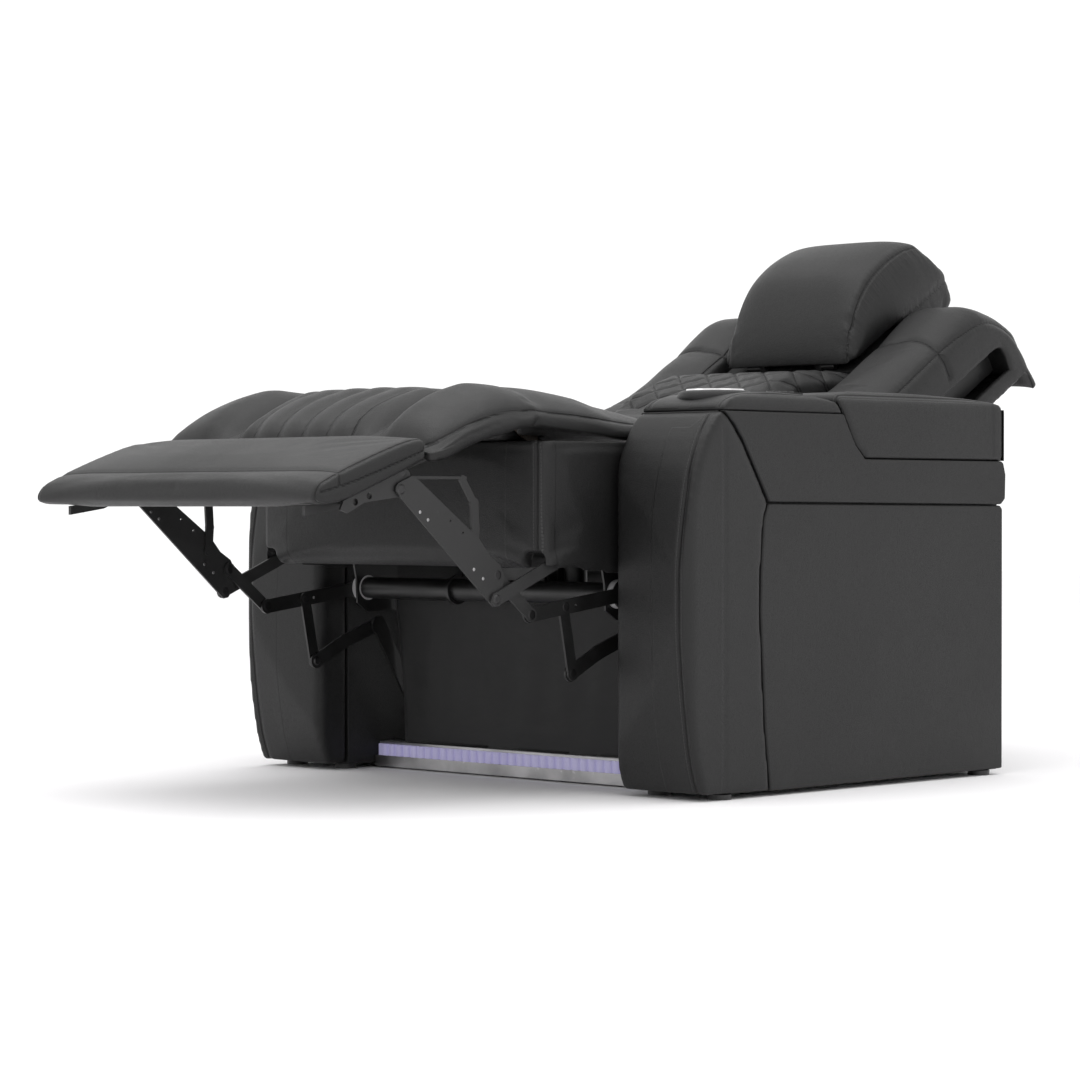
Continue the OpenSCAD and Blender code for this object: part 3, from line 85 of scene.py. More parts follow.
class Finish:
    """A node material under construction, with short calls for its nodes."""

    def __init__(self, name, colour, rough, **sockets):
        self.mat = bpy.data.materials.new(name)
        self.mat.use_nodes = True
        self.tree = self.mat.node_tree
        self.shader = self.tree.nodes["Principled BSDF"]
        self.set("Base Color", (*colour, 1))
        self.set("Roughness", rough)
        for key, value in sockets.items():
            self.set(key.replace("_", " "), value)
        self.where = self.node("ShaderNodeTexCoord").outputs["Object"]

    def set(self, key, value):
        self.shader.inputs[key].default_value = value

    def node(self, kind, **settings):
        made = self.tree.nodes.new(kind)
        for key, value in settings.items():
            setattr(made, key, value)
        return made

    def link(self, a, b):
        self.tree.links.new(a, b)

    def feed(self, made, **inputs):
        """Fills a node's inputs by name, or by number as i0, i1 and so on, with a link or a value."""
        for key, value in inputs.items():
            numbered = key[0] == "i" and key[1:].isdigit()
            socket = made.inputs[int(key[1:])] if numbered else made.inputs[key]
            if isinstance(value, bpy.types.NodeSocket):
                self.link(value, socket)
            else:
                socket.default_value = value
        return made

    def stretched(self, scale, turn=(0, 0, 0)):
        made = self.feed(self.node("ShaderNodeMapping"), Vector=self.where)
        made.inputs["Scale"].default_value = scale
        made.inputs["Rotation"].default_value = turn
        return made.outputs[0]

    def noise(self, scale, detail=3, rough=0.5, vector=None):
        made = self.node("ShaderNodeTexNoise")
        self.feed(made, Vector=vector or self.where, Scale=scale, Detail=detail, Roughness=rough)
        return made.outputs[0]

    def colour_noise(self, scale):
        made = self.node("ShaderNodeTexNoise")
        self.feed(made, Vector=self.where, Scale=scale, Detail=2)
        return made.outputs["Color"]

    def cells(self, scale, vector=None):
        made = self.node("ShaderNodeTexVoronoi", feature="DISTANCE_TO_EDGE")
        self.feed(made, Vector=vector or self.where, Scale=scale)
        return made.outputs["Distance"]

    def wave(self, scale, bands="X", vector=None, bend=0, detail=2):
        made = self.node("ShaderNodeTexWave", bands_direction=bands)
        self.feed(made, Vector=vector or self.where, Scale=scale, Distortion=bend, Detail=detail)
        return made.outputs["Fac"]

    def maths(self, operation, a, b=0.0):
        made = self.node("ShaderNodeMath", operation=operation)
        self.feed(made, i0=a, i1=b)
        return made.outputs[0]

    def fit(self, value, low, high, to_low=0.0, to_high=1.0):
        """Maps low..high to to_low..to_high, eased at both ends."""
        made = self.node("ShaderNodeMapRange", interpolation_type="SMOOTHSTEP")
        self.feed(made, i0=value, i1=low, i2=high, i3=to_low, i4=to_high)
        return made.outputs[0]

    def mixed(self, amount, a, b):
        made = self.node("ShaderNodeMix", data_type="RGBA")
        self.feed(made, i0=amount, i6=a, i7=b)
        return made.outputs[2]

    def carried(self, name):
        return self.node("ShaderNodeAttribute", attribute_name=name).outputs["Fac"]

    def colour(self, socket):
        self.link(socket, self.shader.inputs["Base Color"])

    def roughness(self, socket):
        self.link(socket, self.shader.inputs["Roughness"])

    def bumps(self, *layers):
        """Stacks (height, depth in metres, strength) into the shader's normal."""
        last = None
        for height, depth, strength in layers:
            made = self.feed(self.node("ShaderNodeBump"), Height=height, Distance=depth, Strength=strength)
            if last:
                self.link(last, made.inputs["Normal"])
            last = made.outputs[0]
        self.link(last, self.shader.inputs["Normal"])


def grey(v):
    """A neutral colour, a touch short of green."""
    return (v, v * 0.99, v, 1)


# Stitches of a sewn line, in millimetres: how far they lie off the line, and from one to the next
STITCH_OFF, STITCH_PITCH = 5.0, 5.5
# How far the gathers reach from a seam, in millimetres, and their depth in metres
GATHER_REACH, GATHER_DEPTH = 18, 0.0045


def leather(name, tone, rough):
    """Corrected-grain leather with pores, soft creases, and stitched, puckered seams. The covers carry the
    seams as attributes: seam is the distance to the nearest one, run the way along it, and sewn and pull are
    what the Seam says."""
    f = Finish(name, (tone, tone, tone), rough, Specular_IOR_Level=0.34, Coat_Weight=0.03,
               Coat_Roughness=0.35)
    pebble = f.cells(430)
    pores = f.noise(1500, 2, 0.6)
    cloudy = f.noise(4.5, 4, 0.55)
    worn = f.noise(38, 5, 0.6)
    creases = f.cells(26, f.mixed(0.035, f.where, f.colour_noise(40)))
    off, along, thread, pull = [f.carried(n) for n in ("seam", "run", "sewn", "pull")]
    off_row = f.maths("ABSOLUTE", f.maths("SUBTRACT", off, STITCH_OFF))
    beat = f.maths("FRACT", f.maths("DIVIDE", along, STITCH_PITCH))
    dash = f.fit(f.maths("ABSOLUTE", f.maths("SUBTRACT", beat, 0.5)), 0.34, 0.42, 1, 0)
    stitches = f.maths("MULTIPLY", f.maths("MULTIPLY", f.fit(off_row, 0.35, 0.8, 1, 0), dash), thread)
    furrow = f.maths("MULTIPLY", f.fit(off_row, 0.3, 2.2, 0, 1), thread)
    across = f.node("ShaderNodeCombineXYZ")
    f.feed(across, X=f.maths("MULTIPLY", along, 0.085), Y=f.maths("MULTIPLY", off, 0.018))
    near = f.fit(off, 1, GATHER_REACH, 1, 0)
    gathers = f.maths("MULTIPLY", f.maths("MULTIPLY", f.noise(1.0, 3, 0.55, across.outputs[0]), near), pull)

    body = f.mixed(f.fit(cloudy, 0.3, 0.7), grey(tone * 0.8), grey(tone * 1.2))
    body = f.mixed(f.fit(worn, 0.52, 0.8, 0, 0.3), body, grey(tone * 1.6))
    body = f.mixed(f.fit(pebble, 0.0, 0.12, 0.4, 0.0), body, grey(tone * 0.4))
    # painted shade: right along a seam's line the leather darkens to a tenth of its tone, as the shade in the
    # gap between the panels
    body = f.mixed(f.fit(off, 0.2, 1.7, 0.9, 0), body, grey(tone * 0.1))
    f.colour(f.mixed(stitches, body, grey(tone * 2.2 + 0.012)))
    shine = f.fit(cloudy, 0.3, 0.7, rough - 0.05, rough + 0.06)
    f.roughness(f.maths("ADD", shine, f.fit(pebble, 0, 0.2, 0.1, 0)))
    f.bumps((f.fit(pebble, 0, 0.22), 0.00028, 0.5), (pores, 0.00012, 0.35), (worn, 0.0014, 0.22),
            (f.fit(creases, 0, 0.06), 0.0008, 0.08), (f.fit(off, 0.2, 2.4), 0.0020, 0.9),
            (f.maths("ADD", furrow, stitches), 0.0006, 0.7), (gathers, GATHER_DEPTH, 0.8))
    return f.mat


def satin_steel(name, tone, rough, metallic=0.0):
    """Painted or plated steel: fine orange peel, haze and rubbed patches."""
    f = Finish(name, (tone, tone, tone), rough, Metallic=metallic)
    haze, peel, fine = f.noise(14, 4), f.noise(420, 2), f.noise(1400, 2)
    rub = f.fit(f.noise(70, 6, 0.65), 0.62, 0.78)
    body = f.mixed(f.fit(haze, 0.3, 0.7), grey(tone * 0.8), grey(tone * 1.25))
    f.colour(f.mixed(rub, body, grey(min(tone * 1.7 + 0.01, 0.9))))
    shine = f.fit(haze, 0.3, 0.7, rough - 0.06, rough + 0.08)
    f.roughness(f.maths("ADD", shine, f.maths("MULTIPLY", rub, 0.08)))
    f.bumps((peel, 0.00015, 0.3), (fine, 0.00005, 0.25))
    return f.mat


def brushed(name, tone, rough):
    """Bright steel with a fine drawn grain."""
    f = Finish(name, (tone, tone, tone), rough, Metallic=1.0)
    lines = f.noise(900, 2, 0.5, f.stretched((1, 0.04, 0.04)))
    haze = f.noise(30, 3)
    f.colour(f.mixed(f.fit(haze, 0.3, 0.7), grey(tone * 0.85), grey(min(tone * 1.08, 0.97))))
    f.roughness(f.fit(lines, 0.3, 0.7, rough * 0.8, rough * 1.4))
    f.bumps((lines, 0.00005, 0.3))
    return f.mat


def moulded(name, tone, rough):
    """Moulded plastic with a spark-eroded texture."""
    f = Finish(name, (tone, tone, tone), rough)
    spark, haze = f.noise(900, 3, 0.6), f.noise(12, 3)
    f.colour(f.mixed(f.fit(haze, 0.3, 0.7), grey(tone * 0.92), grey(min(tone * 1.06, 0.95))))
    f.roughness(f.fit(haze, 0.3, 0.7, rough - 0.04, rough + 0.06))
    f.bumps((spark, 0.00012, 0.4))
    return f.mat


def woven(name, tone, pitch):
    """Plain weave from crossed waves, with its pitch in metres."""
    f = Finish(name, (tone, tone, tone), 0.9, Sheen_Weight=0.25)
    scale = 1 / (pitch * 6.3)
    warp, deep, weft = [f.wave(scale, bands) for bands in "XYZ"]
    thread = f.maths("MULTIPLY", f.maths("ADD", warp, weft), f.maths("ADD", deep, 0.5))
    haze = f.noise(9, 4)
    body = f.mixed(f.fit(thread, 0.2, 1.6), grey(tone * 0.55), grey(tone * 1.3))
    f.colour(f.mixed(f.fit(haze, 0.35, 0.7, 0, 0.4), body, grey(tone * 0.7)))
    f.bumps((thread, 0.0004, 0.6), (f.noise(24, 4), 0.003, 0.4))
    return f.mat


def backing_cloth(name, tone):
    """Thin coated cloth: a fine even weave that shows as a soft tooth, and shallow drag lines."""
    f = Finish(name, (tone, tone, tone), 0.62, Specular_IOR_Level=0.3, Sheen_Weight=0.05)
    tooth = f.noise(1300, 2, 0.5)
    drag = f.noise(7, 3, 0.5, f.stretched((1, 1, 2.6), (0, 0.35, 0)))
    f.colour(f.mixed(f.fit(drag, 0.3, 0.7), grey(tone * 0.85), grey(tone * 1.15)))
    f.roughness(f.fit(drag, 0.3, 0.7, 0.58, 0.68))
    f.bumps((drag, 0.012, 0.35), (tooth, 0.0001, 0.4))
    return f.mat


def softwood(name):
    """Pine boards darkened to near black, which is painted shade on the frame where it shows under the cushion,
    with the growth rings showing through.
    """
    f = Finish(name, (0.03, 0.022, 0.015), 0.62)
    rings = f.wave(9, "Y", f.stretched((0.6, 6, 14)), 7, 3)
    fibre = f.noise(160, 4, 0.6, f.stretched((0.08, 1, 1)))
    body = f.mixed(f.fit(rings, 0.2, 0.9), (0.030, 0.021, 0.014, 1), (0.014, 0.009, 0.006, 1))
    f.colour(f.mixed(f.fit(fibre, 0.4, 0.8, 0, 0.5), body, (0.045, 0.034, 0.024, 1)))
    f.roughness(f.fit(fibre, 0.3, 0.7, 0.5, 0.72))
    f.bumps((fibre, 0.0003, 0.4))
    return f.mat


def lamp_lens(name):
    """Milky lens in front of the row of lamps, only a little brighter over each one."""
    lamp_pitch = 0.036
    f = Finish(name, (0.42, 0.40, 0.58), 0.4, Emission_Strength=0.20, Specular_IOR_Level=0.3)
    dots = f.wave(1 / (2 * lamp_pitch))
    patchy = f.noise(9, 2)
    level = f.maths("ADD", f.fit(dots, 0.0, 1.0, 0, 0.12), f.fit(patchy, 0.3, 0.7, 0.2, 0.45))
    f.link(f.mixed(level, (0.62, 0.58, 1.0, 1), (0.80, 0.78, 1.0, 1)), f.shader.inputs["Emission Color"])
    f.colour(f.mixed(level, (0.30, 0.28, 0.44, 1), (0.40, 0.38, 0.54, 1)))
    f.bumps((patchy, 0.0004, 0.2))
    return f.mat


LEATHER = leather("black leather", 0.0085, 0.44)
# a lighter copy of the black leather for the side panels, bands, arm shells, neck board and outside back: its
# paler tone is painted light on these upright faces
SIDE_LEATHER_PAINTED_LIGHTER = leather("side leather painted lighter", 0.0115, 0.52)
BLACK_STEEL = satin_steel("black satin steel", 0.006, 0.42)
# a lighter copy of the black satin steel for the links and legrest frame: its paler tone is painted light,
# standing in for the light on the near link
LINK_STEEL_PAINTED_LIGHTER = satin_steel("link steel painted lighter", 0.0125, 0.5)
RIVET_STEEL = satin_steel("dark rivet steel", 0.05, 0.4, 1.0)
GREY_STEEL = satin_steel("zinc steel", 0.35, 0.38, 1.0)
BRIGHT_STEEL = brushed("bright steel", 0.78, 0.2)
LED_METAL = satin_steel("channel metal", 0.42, 0.34, 1.0)
LENS = lamp_lens("lamp lens")
WHITE_PLASTIC = moulded("white bushing plastic", 0.45, 0.4)
BLACK_PLASTIC = moulded("black moulded plastic", 0.018, 0.42)
BUTTON_PLASTIC = moulded("button plastic", 0.10, 0.3)
DUST_CLOTH = backing_cloth("dust cloth", 0.016)
WEBBING = woven("webbing", 0.035, 0.0024)
# the frame pine is darkened to near black as painted shade where it shows under the cushion
PINE_DARKENED_AS_SHADE = softwood("frame pine darkened as shade")


# ---- mesh helpers

# Closest that two corners of a solid, or of a shape made here, may lie before they are joined, in metres
MERGE_NODE, MERGE_MADE = 2e-5, 1e-6


def merged(bm, dist=MERGE_MADE):
    bmesh.ops.remove_doubles(bm, verts=bm.verts, dist=dist)
    return bm


def closed(bm):
    """Merges a shape that was made here and turns its faces outwards."""
    merged(bm)
    bmesh.ops.recalc_face_normals(bm, faces=bm.faces)
    return bm


def node_bmesh(node):
    """A merged copy of a node's mesh, ready for work."""
    bm = bmesh.new()
    bm.from_mesh(NODES[node].data)
    return merged(bm, MERGE_NODE)


def made(name, bm, material, smooth=True):
    """An object of its own from a bmesh, which is freed."""
    mesh = bpy.data.meshes.new(name)
    bm.to_mesh(mesh)
    bm.free()
    obj = bpy.data.objects.new(name, mesh)
    bpy.context.scene.collection.objects.link(obj)
    mesh.materials.append(material)
    for poly in mesh.polygons:
        poly.use_smooth = smooth
        poly.material_index = 0
    return obj


def baked(obj):
    """Turns the modifiers of a piece into its mesh."""
    depsgraph = bpy.context.evaluated_depsgraph_get()
    done = bpy.data.meshes.new_from_object(obj.evaluated_get(depsgraph))
    old = obj.data
    obj.modifiers.clear()
    obj.data = done
    bpy.data.meshes.remove(old)
    for poly in done.polygons:
        poly.use_smooth = True
    return obj


def vertex_rows(mesh, what):
    """Three numbers of every vertex, one row each: its place as co, or its normal."""
    flat = np.empty(len(mesh.vertices) * 3)
    mesh.vertices.foreach_get(what, flat)
    return flat.reshape(-1, 3)


def places_of(mesh):
    return vertex_rows(mesh, "co")


def normals_of(mesh):
    return vertex_rows(mesh, "normal")


def move_to(mesh, places):
    mesh.vertices.foreach_set("co", places.ravel())
    mesh.update()


def carry(mesh, name, values):
    """Stores one number per vertex for the material to read."""
    layer = mesh.attributes.get(name) or mesh.attributes.new(name, "FLOAT", "POINT")
    layer.data.foreach_set("value", values.astype(np.float32))


FAR = 1e9


class Seam:
    """A sewn line. It is drawn in one view of the piece and runs through it, as a cut would.
    across and up name the drawing's two axes in that view, and only picks the part of the piece that has the
    seam. deep and wide give the furrow, sewn is 1 for a row of stitches beside it, and pull the strength of
    the gathers."""

    def __init__(self, points, across, up, only=None, deep=2.2, wide=5.0, sewn=0.0, pull=0.0):
        self.points = [np.array(p, float) for p in points]
        if len(points) > 2:
            self.points = flowing(self.points)
        self.across, self.up, self.only = across, up, only
        self.deep, self.wide, self.sewn, self.pull = deep, wide, sewn, pull

    def measure(self, p):
        """Distance of each point to the line, and the way along the line to there."""
        at = p[:, [self.across, self.up]]
        best = np.full(len(p), FAR)
        run = np.zeros(len(p))
        done = 0.0
        for a, b in zip(self.points, self.points[1:]):
            d = b - a
            length = float(np.hypot(*d))
            t = np.clip(((at - a) @ d) / max(length * length, 1e-9), 0, 1)
            away = np.hypot(*(at - a - t[:, None] * d).T)
            nearer = away < best
            best[nearer] = away[nearer]
            run[nearer] = (done + t * length)[nearer]
            done += length
        if self.only is not None:
            best = np.where(self.only(p), best, FAR)
        return best, run


def flowing(points, steps=6):
    """A smooth line through the given points."""
    out = []
    last = len(points) - 1
    for i in range(last):
        a, b, c, d = points[max(i - 1, 0)], points[i], points[i + 1], points[min(i + 2, last)]
        for k in range(steps):
            t = k / steps
            out.append(0.5 * (2 * b + (c - a) * t + (2 * a - 5 * b + 4 * c - d) * t * t
                              + (3 * b - a - 3 * c + d) * t ** 3))
    out.append(points[-1])
    return out


# Distance from a seam, in millimetres, past which the leather has nothing to draw of it
SEAM_SIGHT = 60.0


def sew(obj, seams, read=drawn):
    """Pulls the seams in and leaves what the leather needs to draw its stitches."""
    mesh = obj.data
    places, normals = places_of(mesh), normals_of(mesh)
    p = read(places)
    off = np.full(len(p), SEAM_SIGHT)
    run, thread, pull, sunk = [np.zeros(len(p)) for _ in range(4)]
    for seam in seams:
        d, along = seam.measure(p)
        nearer = d < off
        off[nearer], run[nearer] = d[nearer], along[nearer]
        thread[nearer], pull[nearer] = seam.sewn, seam.pull
        sunk = np.maximum(sunk, seam.deep * np.exp(-(d / seam.wide) ** 2))
    if seams:
        move_to(mesh, places - normals * sunk[:, None] / 1000)
    carry(mesh, "seam", off)
    carry(mesh, "run", run)
    carry(mesh, "sewn", thread)
    carry(mesh, "pull", pull)
    return obj


CLOTH_FRAMES = 20


def swollen(obj, pressure, cap, held):
    """Blows the cover up against its seams by up to cap millimetres, as stuffing does. held is 1 where the
    cover is sewn down."""
    scene = bpy.context.scene
    start = places_of(obj.data)
    group = obj.vertex_groups.new(name="sewn_down")
    group.add([int(i) for i in np.nonzero(held)[0]], 1.0, "REPLACE")
    cloth = obj.modifiers.new("Cover", "CLOTH")
    cloth.settings.use_pressure = True
    cloth.settings.uniform_pressure_force = pressure
    cloth.settings.vertex_group_mass = "sewn_down"
    cloth.settings.pin_stiffness = 1.0
    cloth.settings.quality = 4
    cloth.settings.mass = 0.3
    cloth.settings.tension_stiffness = cloth.settings.compression_stiffness = 12
    cloth.settings.bending_stiffness = 0.8
    cloth.settings.effector_weights.gravity = 0
    cloth.collision_settings.use_collision = False
    cloth.point_cache.frame_start, cloth.point_cache.frame_end = 1, CLOTH_FRAMES
    for n in range(1, CLOTH_FRAMES + 1):
        scene.frame_set(n)
    baked(obj)
    scene.frame_set(1)
    moved = places_of(obj.data) - start
    length = np.linalg.norm(moved, axis=1)
    allowed = cap / 1000 * (1 - held) + 1e-6
    moved *= np.minimum(1, allowed / np.maximum(length, 1e-9))[:, None]
    move_to(obj.data, start + moved)
    obj.vertex_groups.clear()


def upholstered(name, nodes, body, seams, read=drawn, voxel=6, slim=2, pressure=4.0, cap=6, held=None,
                shape=None, material=LEATHER, smooth=4, bm=None, bends=None):
    """A stuffed piece: the solid's own form, remeshed, swollen between its seams, and sewn. slim is how far the
    cover is drawn in first, held says where it is sewn down, and shape moves its vertices to a drawn form."""
    obj = made(name, bm or node_bmesh(nodes[0]), material)
    remesh = obj.modifiers.new("Even mesh", "REMESH")
    remesh.mode, remesh.voxel_size = "VOXEL", voxel / 1000
    baked(obj)
    relax = obj.modifiers.new("Relax", "SMOOTH")
    relax.factor, relax.iterations = 0.5, smooth
    baked(obj)
    mesh = obj.data
    p = read(places_of(mesh))
    down = np.zeros(len(p)) if held is None else held(p).astype(float)
    move_to(mesh, places_of(mesh) - normals_of(mesh) * (slim / 1000 * (1 - down))[:, None])
    for seam in seams:
        d, _ = seam.measure(p)
        down = np.maximum(down, np.where(d < voxel, 1.0, 0.0))
    if pressure:
        swollen(obj, pressure, cap, down)
    if shape is not None:
        mesh = obj.data
        move_to(mesh, shape(read(places_of(mesh)), places_of(mesh), normals_of(mesh)))
    rounder = obj.modifiers.new("Rounder", "SUBSURF")
    rounder.levels = rounder.render_levels = 1
    baked(obj)
    sew(obj, seams, read)
    return fitted(obj, body, nodes, bends)


def fitted(obj, body, stands_for=(), bends=None):
    """Attaches a piece to the body it moves with, or only bakes its place into its mesh when bends is given,
    and hides the nodes that it is drawn in place of.
    """
    if bends:
        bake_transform(obj)
    else:
        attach(obj, body)
    if stands_for:
        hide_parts(*stands_for)
    return obj


def covered_board(node, body, round_by, segments):
    """A leather-covered board: the solid with its flat faces joined up and its edges rolled over."""
    flat, sharp = math.radians(1.5), math.radians(22)
    bm = node_bmesh(node)
    bmesh.ops.dissolve_limit(bm, angle_limit=flat, verts=bm.verts, edges=bm.edges)
    edges = [e for e in bm.edges if len(e.link_faces) == 2 and e.calc_face_angle(0) > sharp]
    bmesh.ops.bevel(bm, geom=edges, offset=round_by / 1000, offset_type="OFFSET", segments=segments,
                    profile=0.5, affect="EDGES", material=-1, clamp_overlap=True)
    bmesh.ops.triangulate(bm, faces=[g for g in bm.faces if len(g.verts) > 4])
    obj = made(node + "_cover", bm, SIDE_LEATHER_PAINTED_LIGHTER)
    shading = obj.modifiers.new("Even light", "WEIGHTED_NORMAL")
    shading.keep_sharp = False
    sew(obj, [])
    return fitted(obj, body, [node])


def turned_ring(outline, centre, steps=64):
    """A closed outline of (radius, height) turned about an upright line."""
    bm = bmesh.new()
    row = [bm.verts.new(centre + Vector((r, 0, z)) / 1000) for r, z in outline]
    edges = [bm.edges.new((a, b)) for a, b in zip(row, row[1:] + row[:1])]
    bmesh.ops.spin(bm, geom=row + edges, cent=centre, axis=(0, 0, 1), steps=steps, angle=2 * math.pi,
                   use_merge=True, use_duplicate=False)
    return closed(bm)


def within(a, low, high):
    return (a >= low) & (a <= high)


def mirrored(points, across, up, **how):
    """A seam and its mirror image on the other side of the seat."""
    return [Seam([(s * x, y) for x, y in points], across, up, **how) for s in (1, -1)]


# ---- seat box, cushion and legrest

KNEE = (-182, 576)
# How far each pad runs past the knee, where one cover takes both, and half the span across the knee between the
# two points passed on as bends
KNEE_LAP, KNEE_BEND = 9, 26
# Underside of the chaise pad, by distance ahead of the knee
CHAISE_UNDER = ((0, 58, 138, 218), (592, 582, 558, 532))
CHAISE_LEN = 218
# The chaise's fall towards the footrest, by the same distance
CHAISE_FALL = ((0, 56, 100, 141, 180, 200, 218), (0, 1, 9, 21, 36, 46, 56))
# Across: the sewn channels, the seam beside them, the crest of a side roll, where the roll starts to turn
# down, and the pad's side
CHANNELS = [-112, -56, 0, 56, 112]
VALLEY_X, CREST_X, ROLL_TOP, PAD_SIDE = 163, 218, 228, 320
# Where the cover starts to hang as a skirt and where nothing may hang below its hem, across, each coming in
# over SKIRT_SPAN, and the depths between which that hem counts
SKIRT_X, HEM_X, SKIRT_SPAN = 296, 284, 16
HEM_FRONT, HEM_REAR = -230, 100
# Heights along the outer edge of the seat, by depth: the solid's own rim and underside, and where the welt
# and the hem of the cover lie
EDGE_AT = (-400, -379, -360, -320, -280, -240, -190, -174, -138, -100, 25, 100, 300)
SOLID_RIM = (540, 556, 569, 588, 603, 612, 610, 607, 605, 603, 592, 582, 556)
WELT = (524, 533.5, 543, 560, 572, 581, 585, 585, 582, 580, 570, 566, 548)
SOLID_UNDER = (511, 519, 527, 543, 556, 565, 573, 541, 541, 541, 541, 541, 520)
HEM = (503, 508, 513, 532, 544, 551, 560, 561, 558, 554, 543, 541, 520)


def pads_over_the_knee():
    """The chaise pad and the seat cushion, each run on a little past the knee, for one cover."""
    bm = bmesh.new()
    for node, reach in (("chaise_pad", KNEE_LAP), ("seat_cushion", -KNEE_LAP)):
        before = set(bm.verts)
        bm.from_mesh(NODES[node].data)
        for v in set(bm.verts) - before:
            if abs(v.co.y * 1000 + FRONT_LINE - KNEE[0]) < 1.6:
                v.co.y += reach / 1000
    return merged(bm, MERGE_NODE)


def rounding(t):
    """Quarter of a circle, from 0 to 1."""
    return 1 - np.sqrt(np.maximum(1 - np.clip(t, 0, 1) ** 2, 0))


def ramp(value, start, length):
    """From 0 at start to 1 a length further on."""
    return np.clip((value - start) / length, 0, 1)


def chaise_shape(p, places, normals):
    """Lets the chaise fall away to the footrest, rolls its outer edges down to the welt and its hem, and parts
    the two side rolls from the channelled middle."""
    places = places.copy()
    wide, y = np.abs(p[:, 0]), p[:, 1]
    ahead = np.clip(KNEE[0] - y, 0, CHAISE_LEN)
    over = ramp(p[:, 2], np.interp(ahead, *CHAISE_UNDER), 46)
    z = p[:, 2] - np.interp(ahead, *CHAISE_FALL) * over
    rim, under, hem = [np.interp(y, EDGE_AT, row) for row in (SOLID_RIM, SOLID_UNDER, HEM)]
    high = np.clip((z - under) / (rim - under), 0, 1)
    roll = rounding((wide - ROLL_TOP) / (PAD_SIDE - ROLL_TOP))
    z += high * roll * (np.interp(y, EDGE_AT, WELT) - rim)
    z += (1 - high) * ramp(wide, SKIRT_X, SKIRT_SPAN) * (hem - under)
    z += np.maximum(hem - z, 0) * ramp(wide, HEM_X, SKIRT_SPAN) * (y > HEM_FRONT) * (y < HEM_REAR)
    valley = np.interp(y, (-400, -340, -240, 60, 200), (5, 12, 12, 8, 0))
    valley *= np.exp(-((wide - VALLEY_X) / 17) ** 2)
    crest = np.interp(y, (-400, -330, -120, 60, 200), (0, 6, 6, 3, 0))
    crest *= np.exp(-((wide - CREST_X) / 30) ** 2)
    z += (crest - valley) * over * np.where(y > KNEE[0], high, 1)
    places[:, 2] = z / 1000
    return places


def swaying(x):
    """One sewn channel: it leaves the footrest leaning outwards and runs straight back from there."""
    front, rear, step = -404, 340, 31
    return [(x + 26 * math.exp(-((y - front) / 52) ** 2) + 3 * math.sin(0.019 * y), y)
            for y in range(front, rear, step)]


def over_pads(p):
    """The top of the seat and of the chaise, where the channels are sewn."""
    ahead = KNEE[0] - p[:, 1]
    return p[:, 2] > np.interp(ahead, (-520, 0, 58, 138, 180, 218), (550, 600, 590, 555, 540, 524))


def seat_underside(p):
    """The part of the seat's cover that is tacked down."""
    chaise = np.interp(KNEE[0] - p[:, 1], *CHAISE_UNDER) + 6
    return p[:, 2] < np.where(p[:, 1] > KNEE[0], 546, chaise)


seat_seams = [Seam(swaying(x), 0, 1, only=over_pads, deep=5.0, wide=12, pull=0.12) for x in CHANNELS]
seat_seams += mirrored([(VALLEY_X, -404), (VALLEY_X, -300), (VALLEY_X, -184), (161, -40), (162, 344)], 0, 1,
                       only=over_pads, deep=4.0, wide=10, pull=0.1)
seat_seams += [Seam([(y, z - 1) for y, z in zip(EDGE_AT, WELT)], 1, 2,
                    only=lambda p: np.abs(p[:, 0]) > SKIRT_X, deep=1.6, wide=3.2)]
upholstered("seat_and_chaise_cover", ["chaise_pad", "seat_cushion"], "legrest", seat_seams, voxel=7, slim=2,
            cap=6, smooth=6, shape=chaise_shape, bm=pads_over_the_knee(), held=seat_underside,
            bends=("seat", spot(0, KNEE[0] - KNEE_BEND, KNEE[1]), spot(0, KNEE[0] + KNEE_BEND, KNEE[1])))

foot_seams = mirrored([(321, -622), (321, -402)], 0, 1, deep=1.6, wide=3.2)
foot_seams += [Seam([(-330, -574), (330, -574)], 0, 1, only=lambda p: p[:, 2] > 470, deep=1.4, wide=6)]
foot_seams += [Seam([(-609, 461), (-565, 471), (-512, 487), (-455, 506), (-405, 523)], 1, 2,
                    only=lambda p: np.abs(p[:, 0]) > 324, deep=1.8, wide=3.5)]
upholstered("footrest_cover", ["footrest_pad"], "legrest", foot_seams, slim=2, cap=4, voxel=5.5)


def tacked_box(p):
    """Top, rear and inner sides of the seat box's cover."""
    return (p[:, 2] > 532) | (np.abs(p[:, 0]) < 318) & (p[:, 1] > -150) | (p[:, 1] > 420)


box_seams = mirrored([(312, 340), (312, 545)], 0, 2, only=lambda p: p[:, 1] < -140, deep=1.8, wide=4, sewn=1)
upholstered("seat_box_cover", ["seat_box"], "seat", box_seams, slim=1, cap=4, voxel=5,
            held=tacked_box)

# ---- back

# Front of a bolster in (u, n), as the solid has it, and the welt along its outer side
BOLSTER_LINE = ((0, 107, 150, 220, 300, 433, 506, 563, 590, 613, 636, 656, 666),
                (155, 128, 108, 91, 80, 85, 90, 84, 62, 40, 8, -30, -66))
BOLSTER_WELT = [(-5, 128), (107, 100), (150, 80), (220, 64), (300, 56.5), (430, 59.5), (500, 57), (561, 46),
                (603, 14), (633, -40), (646, -84)]
BOLSTER_PLEAT = [(-330, 424), (-250, 440), (-170, 430), (170, 430), (250, 440), (330, 424)]


